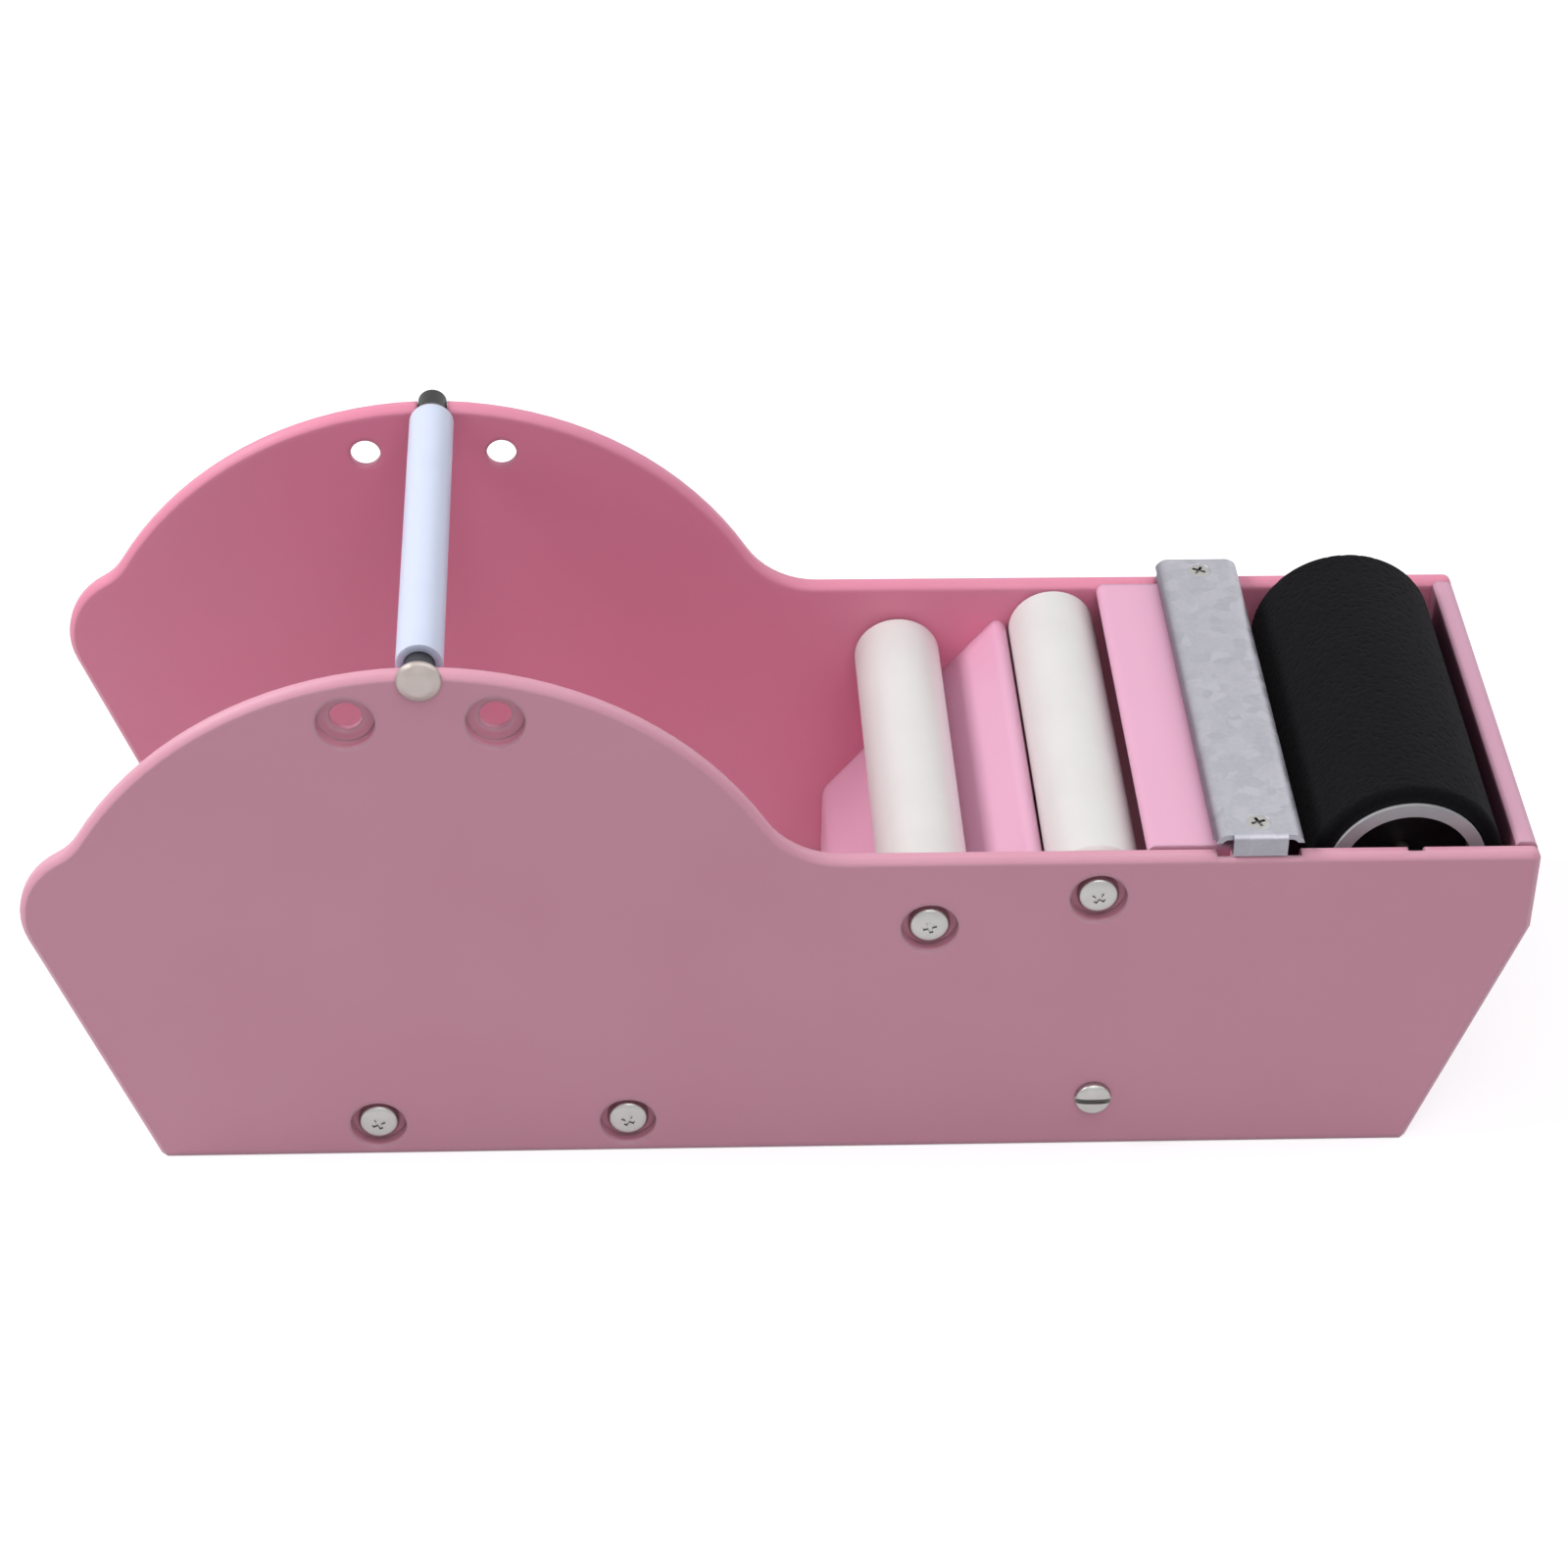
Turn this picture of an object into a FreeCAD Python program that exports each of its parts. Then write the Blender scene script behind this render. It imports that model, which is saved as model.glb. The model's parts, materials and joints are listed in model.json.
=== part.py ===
import FreeCAD, Part
import math
import os

# Table-top dispenser for water-activated paper tape, in millimetres.
# +X follows the tape from the roll bay to the wetting roller, +Y points to the far plate, +Z is up.
# The origin lies on the ground, in the middle of the outline.

# Overall sizes
LENGTH = 300.0
CLEAR_WIDTH = 95.0
PLATE_T = 4.0
RAIL_Z = 73.4

# Side plate outline: arch over the roll bay, rounded tail lobe, slanted ends
ARCH_R = 78.2
ARCH_Z = 40.4
TAIL_OVERHANG = 1.6
LOBE_R = 16.5
LOBE_Z = 61.6
REAR_FILLET_R = 12.0
FRONT_FILLET_R = 18.0
TAIL_FOOT_INSET = 23.3
FRONT_FOOT_INSET = 19.4
KNEE_Z = 54.6
CORNER_R = 2.0
EDGE_BREAK = 1.2
WALL_BREAK = 0.7

# Clearances
RUN_CLEAR = 0.05
PLUG_CLEAR = 0.03
LIFT_CLEAR = 0.1
SHANK_CLEAR = 0.3
THREAD_CLEAR = 0.05
SINK_CLEAR = 0.05
SPARE_CLEAR = 0.15
END_PLAY = 0.4
SIDE_PLAY = 0.2

# Screws: pan heads have an upright rim, then a slope up to the crown; the bar's are sunk flush
AXLE_SCREW = {"shank_r": 2.0, "head_r": 4.15, "rim_h": 1.4, "head_h": 2.4, "crown_r": 2.4}
TIE_SCREW = {"shank_r": 2.0, "head_r": 3.75, "rim_h": 1.1, "head_h": 2.0, "crown_r": 2.2}
BAR_SCREW = {"shank_r": 1.45, "head_r": 2.4}
SCREW_GRIP = 9.0
TAP_SPARE = 2.0

# Screw seats in the plates: the web is what is left of the plate under the head
SEAT_R = 5.75
SEAT_WEB = 1.4

# Axles and plastic rollers
AXLE_R = 3.0
GUIDE_R = 9.2
GUIDE_T = 3.0
SUPPORT_R = 6.0
SUPPORT_T = 1.4
ROLLER_CHAMFER = 0.8
BUSH_L = 9.0
BUSH_PROUD = 0.4
SUPPORT_Z = 7.4
SUPPORT_BACK_DX = -11.8
SUPPORT_FRONT_DX = 39.2
SUPPORT_TOE_GAP = 5.0

# Wetting roller: foam on a tube that two hubs carry on a lift-out axle
FOAM_R = 19.6
FOAM_T = 3.5
CORE_T = 2.8
CORE_PROUD = 0.8
WET_END_GAP = 3.2
WET_PROUD = 10.4
WET_WALL_GAP = 0.8
WET_AXLE_R = 1.6
HUB_T = 6.0
HUB_INSET = 8.0
SLOT_D = 2.4

# Water tank and front wall
FRONT_WALL_T = 4.5
TANK_T = 2.5
END_WALL_T = 2.0
WATER_UNDER = 8.0
END_WALL_DROP = 1.5
SKIRT_Z = 2.0
TANK_INNER_R = 4.0
TANK_OUTER_R = 3.0

# Cutter bar: folded sheet with side flanges, and an end tab that stands on each rail between two pockets
BAR_W = 17.8
BAR_H = 4.5
BAR_SHEET = 1.2
BAR_BEND_R = 2.8
BAR_TAB_W = 10.8
TAB_BEND_R = 1.3
TAB_INSET = 0.4
BAR_END_GAP = 1.3
FLANGE_END_CUT = 4.0
FLANGE_LIP = 2.0
POCKET_SKIN = 0.9
POCKET_SIDE = 0.5
POCKET_D = 3.0
BAR_WET_GAP = 2.9
TAPE_SLOT = 1.4
BAR_SCREW_INSET = 5.7
PILLAR_R = 3.0
PILLAR_L = 16.0

# Feed table
TABLE_T = 3.5
TABLE_L = 27.9
TABLE_LIP = 0.5
TABLE_NOSE_R = 1.6
TABLE_GUIDE_GAP = 0.4
TABLE_RIB_T = 2.5
TABLE_RIB_H = 6.0
TABLE_RIB_INSET = 6.0
TABLE_RIB_PITCH = 12.0
RIB_END_GAP = 12.0

# Feed ramp
RAMP_ANGLE = math.radians(51.3)
RAMP_L = 58.5
RAMP_T = 4.0
RAMP_DROP = 8.4
RAMP_GUIDE_GAP = 2.8
RAMP_TAPE_GAP = 2.2
GUIDE_DOWN_RAMP = 19.9
UPPER_GUIDE_DROP = 0.7
RAMP_TOE_Z = 3.0
RAMP_NOSE_R = 1.7
RAMP_BEND_R = 6.0

# Ledges that carry the ramp, the table and the tank
LEDGE_W = 3.0
LEDGE_T = 2.5
LEDGE_INSET = 3.0
RAMP_LEDGE_START = 12.0
RAMP_LEDGE_END = 46.0

# Tie between the plates
TIE_R = 5.0
TIE_Z = 12.5
TIE_DX = 2.0

# Keeper bar in its notches, and the spare holes beside them
KEEPER_R = 3.0
KEEPER_SINK = 1.0
KEEPER_HEAD_R = 4.4
KEEPER_HEAD_T = 1.8
KEEPER_RIM_H = 0.7
KEEPER_CROWN_R = 2.6
KEEPER_TIP_L = 5.0
KEEPER_PIN_R = 2.0
SLEEVE_T = 1.55
SLEEVE_NEAR_GAP = 1.0
SLEEVE_FAR_GAP = 4.5
SPARE_INSET = 9.6
SPARE_ANGLE = math.radians(12.0)

# Places worked out from the sizes above
HALF_CLEAR = CLEAR_WIDTH / 2
HALF_WIDTH = HALF_CLEAR + PLATE_T
SEAT_D = PLATE_T - SEAT_WEB
X_TAIL = -LENGTH / 2
X_FRONT = LENGTH / 2
ARCH_X = X_TAIL + TAIL_OVERHANG + ARCH_R
LOBE_X = X_TAIL + LOBE_R
WET_X = X_FRONT - FRONT_WALL_T - WET_WALL_GAP - FOAM_R
WET_Z = RAIL_Z + WET_PROUD - FOAM_R
CORE_R = FOAM_R - FOAM_T
CORE_BORE_R = CORE_R - CORE_T
CORE_HALF = HALF_CLEAR - WET_END_GAP
BAR_X = WET_X - FOAM_R - BAR_WET_GAP - BAR_W / 2
BAR_TOP = RAIL_Z + BAR_H
BAR_SCREW_Y = HALF_WIDTH - BAR_SCREW_INSET
TAB_Y = HALF_WIDTH - TAB_INSET
BACK_X0 = BAR_X + PILLAR_R + SIDE_PLAY
TABLE_X1 = BACK_X0 + TANK_T + TABLE_LIP
TABLE_X0 = TABLE_X1 - TABLE_L
TABLE_UNDER = RAIL_Z - TABLE_T
FLOOR_TOP = WET_Z - FOAM_R - WATER_UNDER
FLOOR_UNDER = FLOOR_TOP - TANK_T
END_WALL_TOP = WET_Z - WET_AXLE_R - END_WALL_DROP
UPPER_X = TABLE_X0 - TABLE_GUIDE_GAP - GUIDE_R
UPPER_Z = RAIL_Z - UPPER_GUIDE_DROP - GUIDE_R
RAMP_TOP = (UPPER_X - GUIDE_R - RAMP_GUIDE_GAP, RAIL_Z - RAMP_DROP)
RAMP_DOWN = (-math.cos(RAMP_ANGLE), -math.sin(RAMP_ANGLE))
RAMP_INTO = (math.sin(RAMP_ANGLE), -math.cos(RAMP_ANGLE))
TIE_X = UPPER_X + TIE_DX
KEEPER_Z = ARCH_Z + ARCH_R - KEEPER_SINK


def on_ramp(along, into):
    """A point on the ramp's section: along the slope from its top edge, and into its thickness."""
    x = RAMP_TOP[0] + along * RAMP_DOWN[0] + into * RAMP_INTO[0]
    z = RAMP_TOP[1] + along * RAMP_DOWN[1] + into * RAMP_INTO[1]
    return (x, z)


LOWER_X, LOWER_Z = on_ramp(GUIDE_DOWN_RAMP, -GUIDE_R - RAMP_TAPE_GAP)
RAMP_TOE_X = on_ramp(RAMP_L, 0)[0]
SUPPORT_BACK_X = ARCH_X + SUPPORT_BACK_DX
SUPPORT_FRONT_X = min(ARCH_X + SUPPORT_FRONT_DX, RAMP_TOE_X - SUPPORT_TOE_GAP - SUPPORT_R)
AXLES = {
    "back_support": (SUPPORT_BACK_X, SUPPORT_Z, SUPPORT_R, SUPPORT_R - SUPPORT_T),
    "front_support": (SUPPORT_FRONT_X, SUPPORT_Z, SUPPORT_R, SUPPORT_R - SUPPORT_T),
    "lower_guide": (LOWER_X, LOWER_Z, GUIDE_R, GUIDE_R - GUIDE_T),
    "upper_guide": (UPPER_X, UPPER_Z, GUIDE_R, GUIDE_R - GUIDE_T),
}
SPARE_R = ARCH_R - SPARE_INSET
SPARES = [
    (ARCH_X + side * SPARE_R * math.sin(SPARE_ANGLE), ARCH_Z + SPARE_R * math.cos(SPARE_ANGLE))
    for side in (-1, 1)
]
REACH = LENGTH


def vec(x, y, z):
    return FreeCAD.Vector(x, y, z)


def rod(x, z, radius, y0, y1):
    """A cylinder along Y between two places."""
    return Part.makeCylinder(radius, y1 - y0, vec(x, y0, z), vec(0, 1, 0))


def block(x0, x1, y0, y1, z0, z1):
    return Part.makeBox(x1 - x0, y1 - y0, z1 - z0, vec(x0, y0, z0))


def prism(points, y0, y1):
    """A polygon of (x, z) points, extruded along Y."""
    corners = [vec(x, y0, z) for x, z in points]
    face = Part.Face(Part.makePolygon(corners + corners[:1]))
    return face.extrude(vec(0, y1 - y0, 0))


def turned(x, z, points):
    """A polygon of (y, radius) points, turned about the Y axis through (x, z)."""
    corners = [vec(x + radius, y, z) for y, radius in points]
    face = Part.Face(Part.makePolygon(corners + corners[:1]))
    return face.revolve(vec(x, 0, z), vec(0, 1, 0), 360)


def edges_along_y(solid, places):
    """The edges parallel to Y whose (x, z) place is one of those given."""
    found = []
    for edge in solid.Edges:
        first = edge.Vertexes[0].Point
        last = edge.Vertexes[-1].Point
        if abs(first.x - last.x) > 1e-6 or abs(first.z - last.z) > 1e-6:
            continue
        if any(math.hypot(first.x - x, first.z - z) < 1e-4 for x, z in places):
            found.append(edge)
    return found


def edges_along_x(solid, y, z):
    """The edges parallel to X at a (y, z) place."""
    return [
        edge for edge in solid.Edges
        if edge.BoundBox.YLength < 1e-6 and edge.BoundBox.ZLength < 1e-6
        and math.hypot(edge.CenterOfMass.y - y, edge.CenterOfMass.z - z) < 1e-4
    ]


def mirrored(solid):
    """The same solid on the other side of the middle plane."""
    return solid.mirror(vec(0, 0, 0), vec(0, 1, 0))


def pan_screw(place, outward, sizes, grip):
    """A pan head whose underside lies at place, with a plain shank that runs inwards."""
    shank_r = sizes["shank_r"]
    head_r = sizes["head_r"]
    head_h = sizes["head_h"]
    screw = turned(0, 0, [
        (-grip, 0), (-grip, shank_r), (0, shank_r), (0, head_r), (sizes["rim_h"], head_r),
        (head_h, sizes["crown_r"]), (head_h, 0),
    ])
    screw.Placement = FreeCAD.Placement(place, FreeCAD.Rotation(vec(0, 1, 0), outward))
    return screw


def flat_screw(place, sizes, grip):
    """A right-angled countersunk head whose flat top lies at place, with a plain shank that runs down."""
    shank_r = sizes["shank_r"]
    head_r = sizes["head_r"]
    screw = turned(0, 0, [(-grip, 0), (-grip, shank_r), (shank_r - head_r, shank_r), (0, head_r), (0, 0)])
    screw.Placement = FreeCAD.Placement(place, FreeCAD.Rotation(vec(0, 1, 0), vec(0, 0, 1)))
    return screw


def minor_arc(centre, start, end):
    """The shorter arc about a centre, all in (x, z)."""
    radius = math.dist(centre, start)
    mid_x = start[0] + end[0] - 2 * centre[0]
    mid_z = start[1] + end[1] - 2 * centre[1]
    size = math.hypot(mid_x, mid_z)
    middle = (centre[0] + radius * mid_x / size, centre[1] + radius * mid_z / size)
    return Part.Arc(*(vec(x, 0, z) for x, z in (start, middle, end))).toShape()


def towards(centre, target, radius):
    """The point of a circle about centre that faces the target."""
    share = radius / math.dist(centre, target)
    return (centre[0] + share * (target[0] - centre[0]), centre[1] + share * (target[1] - centre[1]))


def front_edge_x(z):
    """The plate's front edge: upright above the knee, slanted below it."""
    return X_FRONT - FRONT_FOOT_INSET * max(0.0, 1 - z / KNEE_Z)


def plate_outline():
    """The closed outline of a side plate, of lines and tangent arcs."""
    arch = (ARCH_X, ARCH_Z)
    lobe = (LOBE_X, LOBE_Z)
    tail_foot = (X_TAIL + TAIL_FOOT_INSET, 0.0)
    front_reach = ARCH_R + FRONT_FILLET_R
    front_rise = RAIL_Z + FRONT_FILLET_R - ARCH_Z
    front_centre = (ARCH_X + math.sqrt(front_reach ** 2 - front_rise ** 2), RAIL_Z + FRONT_FILLET_R)
    gap = math.dist(arch, lobe)
    arch_reach = ARCH_R + REAR_FILLET_R
    lobe_reach = LOBE_R + REAR_FILLET_R
    along = (gap ** 2 + arch_reach ** 2 - lobe_reach ** 2) / (2 * gap)
    across = math.sqrt(arch_reach ** 2 - along ** 2)
    unit = ((lobe[0] - arch[0]) / gap, (lobe[1] - arch[1]) / gap)
    rear_centre = (
        arch[0] + along * unit[0] + across * unit[1],
        arch[1] + along * unit[1] - across * unit[0],
    )
    foot_angle = math.atan2(tail_foot[1] - lobe[1], tail_foot[0] - lobe[0])
    touch_angle = foot_angle - math.acos(LOBE_R / math.dist(lobe, tail_foot))
    lobe_low = (
        lobe[0] + LOBE_R * math.cos(touch_angle),
        lobe[1] + LOBE_R * math.sin(touch_angle),
    )
    lobe_high = towards(lobe, rear_centre, LOBE_R)
    arch_rear = towards(arch, rear_centre, ARCH_R)
    arch_front = towards(arch, front_centre, ARCH_R)
    rail_start = (front_centre[0], RAIL_Z)
    rail_end = (X_FRONT - CORNER_R, RAIL_Z)
    corner_low = (X_FRONT, RAIL_Z - CORNER_R)
    knee = (X_FRONT, KNEE_Z)
    front_foot = (front_edge_x(0.0), 0.0)

    def line(start, end):
        return Part.makeLine(vec(start[0], 0, start[1]), vec(end[0], 0, end[1]))

    return Part.Wire([
        line(tail_foot, front_foot),
        line(front_foot, knee),
        line(knee, corner_low),
        minor_arc((X_FRONT - CORNER_R, RAIL_Z - CORNER_R), corner_low, rail_end),
        line(rail_end, rail_start),
        minor_arc(front_centre, rail_start, arch_front),
        minor_arc(arch, arch_front, arch_rear),
        minor_arc(rear_centre, arch_rear, lobe_high),
        minor_arc(lobe, lobe_high, lobe_low),
        line(lobe_low, tail_foot),
    ])


def near_plate():
    """The near side plate: a slab with broken edges, ledges and a pillar inside, seats and holes outside."""
    outer = -HALF_WIDTH
    inner = -HALF_CLEAR
    slab = Part.Face(plate_outline()).extrude(vec(0, PLATE_T, 0))
    rims = [
        edge for edge in slab.Edges
        if edge.BoundBox.YLength < 1e-6 and edge.BoundBox.ZMax > 1e-6
    ]
    slab = slab.makeChamfer(EDGE_BREAK, rims)
    slab.translate(vec(0, outer, 0))

    ledge_top = LEDGE_W + inner
    ramp_ledge = prism([
        on_ramp(RAMP_LEDGE_START, RAMP_T),
        on_ramp(RAMP_LEDGE_END, RAMP_T),
        on_ramp(RAMP_LEDGE_END, RAMP_T + LEDGE_T),
        on_ramp(RAMP_LEDGE_START, RAMP_T + LEDGE_T),
    ], inner, ledge_top)
    table_ledge = block(
        TABLE_X0 + LEDGE_INSET, BACK_X0 - LEDGE_INSET, inner, ledge_top,
        TABLE_UNDER - LEDGE_T, TABLE_UNDER,
    )
    tank_ledge = block(
        BACK_X0 + LEDGE_INSET, front_edge_x(FLOOR_UNDER) - FRONT_WALL_T - LEDGE_INSET, inner, ledge_top,
        FLOOR_UNDER - LEDGE_T, FLOOR_UNDER,
    )
    pillar = Part.makeCylinder(PILLAR_R, PILLAR_L, vec(BAR_X, -BAR_SCREW_Y, TABLE_UNDER - PILLAR_L))
    pillar = pillar.common(block(-REACH, REACH, inner, 0, 0, TABLE_UNDER))
    plate = slab.multiFuse([ramp_ledge, table_ledge, tank_ledge, pillar])

    cuts = []
    for x, z, _, _ in AXLES.values():
        cuts.append(rod(x, z, SEAT_R, outer, outer + SEAT_D))
        cuts.append(rod(x, z, AXLE_SCREW["shank_r"] + SHANK_CLEAR, outer, inner))
    for x, z in SPARES:
        cuts.append(rod(x, z, SEAT_R, outer, outer + SEAT_D))
        cuts.append(rod(x, z, KEEPER_R + SPARE_CLEAR, outer, inner))
    cuts.append(rod(TIE_X, TIE_Z, TIE_SCREW["shank_r"] + SHANK_CLEAR, outer, inner))
    notch_r = KEEPER_R + LIFT_CLEAR
    cuts.append(rod(ARCH_X, KEEPER_Z, notch_r, outer, inner))
    cuts.append(block(ARCH_X - notch_r, ARCH_X + notch_r, outer, inner, KEEPER_Z, KEEPER_Z + ARCH_R))
    slot_r = WET_AXLE_R + LIFT_CLEAR
    cuts.append(rod(WET_X, WET_Z, slot_r, inner - SLOT_D, inner))
    cuts.append(block(WET_X - slot_r, WET_X + slot_r, inner - SLOT_D, inner, WET_Z, WET_Z + RAIL_Z))
    pocket_y = outer + POCKET_SKIN
    pocket_z = RAIL_Z - POCKET_D
    near_x = BAR_TAB_W / 2
    far_x = BAR_W / 2 - POCKET_SIDE
    cuts.append(block(BAR_X - far_x, BAR_X - near_x, pocket_y, inner, pocket_z, RAIL_Z))
    cuts.append(block(BAR_X + near_x, BAR_X + far_x, pocket_y, inner, pocket_z, RAIL_Z))
    tap_depth = TABLE_T + SCREW_GRIP + TAP_SPARE
    tap_r = BAR_SCREW["shank_r"] + THREAD_CLEAR
    cuts.append(Part.makeCylinder(tap_r, tap_depth, vec(BAR_X, -BAR_SCREW_Y, RAIL_Z - tap_depth)))
    return plate.cut(cuts).removeSplitter()


def feed_ramp():
    """A sloping panel with an upright toe, rounded where the tape runs over it."""
    corner = on_ramp(RAMP_L, 0)
    under_reach = RAMP_L - RAMP_T * math.tan((math.pi / 2 - RAMP_ANGLE) / 2)
    inside = on_ramp(under_reach, RAMP_T)
    nose = [on_ramp(0, 0), on_ramp(0, RAMP_T)]
    panel = prism([
        nose[0],
        corner,
        (corner[0], RAMP_TOE_Z),
        (corner[0] + RAMP_T, RAMP_TOE_Z),
        inside,
        nose[1],
    ], -HALF_CLEAR, HALF_CLEAR)
    panel = panel.makeFillet(RAMP_NOSE_R, edges_along_y(panel, nose))
    panel = panel.makeFillet(RAMP_BEND_R, edges_along_y(panel, [corner]))
    return panel.makeFillet(RAMP_BEND_R - RAMP_T, edges_along_y(panel, [inside]))


def feed_table():
    """A flat panel with a rounded nose, stiffening ribs below and an open notch for each bar screw."""
    nose = [(TABLE_X0, TABLE_UNDER), (TABLE_X0, RAIL_Z)]
    table = block(TABLE_X0, TABLE_X1, -HALF_CLEAR, HALF_CLEAR, TABLE_UNDER, RAIL_Z)
    table = table.makeFillet(TABLE_NOSE_R, edges_along_y(table, nose))
    rib_half = HALF_CLEAR - RIB_END_GAP
    ribs = []
    for step in (0, 1):
        x = TABLE_X0 + TABLE_RIB_INSET + step * TABLE_RIB_PITCH
        foot = TABLE_UNDER - TABLE_RIB_H
        ribs.append(block(x, x + TABLE_RIB_T, -rib_half, rib_half, foot, TABLE_UNDER))
    table = table.multiFuse(ribs)
    hole_r = BAR_SCREW["shank_r"] + SHANK_CLEAR
    notches = [
        Part.makeCylinder(hole_r, TABLE_T, vec(BAR_X, side * BAR_SCREW_Y, TABLE_UNDER))
        for side in (-1, 1)
    ]
    notches.append(block(BAR_X - hole_r, BAR_X + hole_r, -HALF_CLEAR, -BAR_SCREW_Y, TABLE_UNDER, RAIL_Z))
    notches.append(block(BAR_X - hole_r, BAR_X + hole_r, BAR_SCREW_Y, HALF_CLEAR, TABLE_UNDER, RAIL_Z))
    return table.cut(notches).removeSplitter()


def water_tank():
    """The trough under the wetting roller, with the dispenser's front wall and an apron below it."""
    inner_front = X_FRONT - FRONT_WALL_T
    back_inside = BACK_X0 + TANK_T
    floor_back = (back_inside, FLOOR_TOP)
    floor_front = (front_edge_x(FLOOR_TOP) - FRONT_WALL_T, FLOOR_TOP)
    under_back = (BACK_X0, FLOOR_UNDER)
    top_outside = (X_FRONT, RAIL_Z)
    top_inside = (inner_front, RAIL_Z)
    trough = prism([
        top_outside,
        (X_FRONT, KNEE_Z),
        (front_edge_x(SKIRT_Z), SKIRT_Z),
        (front_edge_x(SKIRT_Z) - FRONT_WALL_T, SKIRT_Z),
        (front_edge_x(FLOOR_UNDER) - FRONT_WALL_T, FLOOR_UNDER),
        under_back,
        (BACK_X0, TABLE_UNDER),
        (back_inside, TABLE_UNDER),
        floor_back,
        floor_front,
        (inner_front, KNEE_Z),
        top_inside,
    ], -HALF_CLEAR, HALF_CLEAR)
    trough = trough.makeFillet(TANK_INNER_R, edges_along_y(trough, [floor_back, floor_front]))
    trough = trough.makeFillet(TANK_OUTER_R, edges_along_y(trough, [under_back]))
    trough = trough.makeFillet(CORNER_R, edges_along_y(trough, [top_outside]))
    trough = trough.makeChamfer(WALL_BREAK, edges_along_y(trough, [top_inside]))
    end_wall = prism([
        top_outside,
        (X_FRONT, KNEE_Z),
        (front_edge_x(FLOOR_UNDER), FLOOR_UNDER),
        under_back,
        (BACK_X0, RAIL_Z),
    ], -HALF_CLEAR, -HALF_CLEAR + END_WALL_T)
    end_wall = end_wall.makeFillet(TANK_OUTER_R, edges_along_y(end_wall, [under_back]))
    end_wall = end_wall.common(block(-REACH, REACH, -REACH, REACH, 0, END_WALL_TOP))
    return trough.multiFuse([end_wall, mirrored(end_wall)]).removeSplitter()


def cutter_bar():
    """Folded sheet: a flat top, a rounded flange along each side and a tab down onto each rail."""
    half = BAR_W / 2
    flange_z = RAIL_Z + TAPE_SLOT
    body_half = HALF_WIDTH - BAR_END_GAP
    shell = block(BAR_X - half, BAR_X + half, -body_half, body_half, flange_z, BAR_TOP)
    top_corners = [(BAR_X - half, BAR_TOP), (BAR_X + half, BAR_TOP)]
    shell = shell.makeFillet(BAR_BEND_R, edges_along_y(shell, top_corners))
    hollow_half = half - BAR_SHEET
    hollow_top = BAR_TOP - BAR_SHEET
    hollow = block(BAR_X - hollow_half, BAR_X + hollow_half, -body_half, body_half, flange_z, hollow_top)
    hollow_corners = [(BAR_X - hollow_half, hollow_top), (BAR_X + hollow_half, hollow_top)]
    hollow = hollow.makeFillet(BAR_BEND_R - BAR_SHEET, edges_along_y(hollow, hollow_corners))
    end_start = HALF_WIDTH - FLANGE_END_CUT
    end_cut = block(BAR_X - half, BAR_X + half, -body_half, -end_start, flange_z, BAR_TOP - FLANGE_LIP)
    bar = shell.cut([hollow, end_cut, mirrored(end_cut)])

    tab_half = BAR_TAB_W / 2
    tab = block(BAR_X - tab_half, BAR_X + tab_half, -TAB_Y, -end_start, RAIL_Z, BAR_TOP)
    tab = tab.makeFillet(TAB_BEND_R, edges_along_x(tab, -TAB_Y, BAR_TOP))
    tab = tab.cut(block(
        BAR_X - tab_half, BAR_X + tab_half, -TAB_Y + BAR_SHEET, -end_start, RAIL_Z, hollow_top,
    ))
    tab_room = block(BAR_X - tab_half, BAR_X + tab_half, -body_half, -end_start, flange_z, BAR_TOP)
    bar = bar.cut([tab_room, mirrored(tab_room)])
    bar = bar.multiFuse([tab, mirrored(tab)]).removeSplitter()
    hole_r = BAR_SCREW["shank_r"] + SHANK_CLEAR
    sink_r = BAR_SCREW["head_r"] + SINK_CLEAR
    sink = turned(0, 0, [(-BAR_H, 0), (-BAR_H, hole_r), (hole_r - sink_r, hole_r), (0, sink_r), (0, 0)])
    holes = []
    for side in (-1, 1):
        hole = sink.copy()
        place = vec(BAR_X, side * BAR_SCREW_Y, BAR_TOP)
        hole.Placement = FreeCAD.Placement(place, FreeCAD.Rotation(vec(0, 1, 0), vec(0, 0, 1)))
        holes.append(hole)
    return bar.cut(holes)


def tube(x, z, radius, bore_r, half):
    """A tube along Y, as long on both sides of the middle."""
    return turned(x, z, [(-half, bore_r), (half, bore_r), (half, radius), (-half, radius)])


def roller_tube(x, z, radius, bore_r):
    """A plastic roller tube with broken edges."""
    half = HALF_CLEAR - END_PLAY - BUSH_PROUD
    chamfer = ROLLER_CHAMFER
    return turned(x, z, [
        (-half, bore_r), (half, bore_r), (half, radius - chamfer), (half - chamfer, radius),
        (-half + chamfer, radius), (-half, radius - chamfer),
    ])


def roller_bush(x, z, bore_r):
    """A bush that plugs the near end of a roller tube and runs on the axle."""
    outer = -HALF_CLEAR + END_PLAY
    hole_r = AXLE_R + RUN_CLEAR
    plug_r = bore_r - PLUG_CLEAR
    return turned(x, z, [
        (outer, hole_r), (outer + BUSH_L, hole_r), (outer + BUSH_L, plug_r), (outer, plug_r),
    ])


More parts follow.
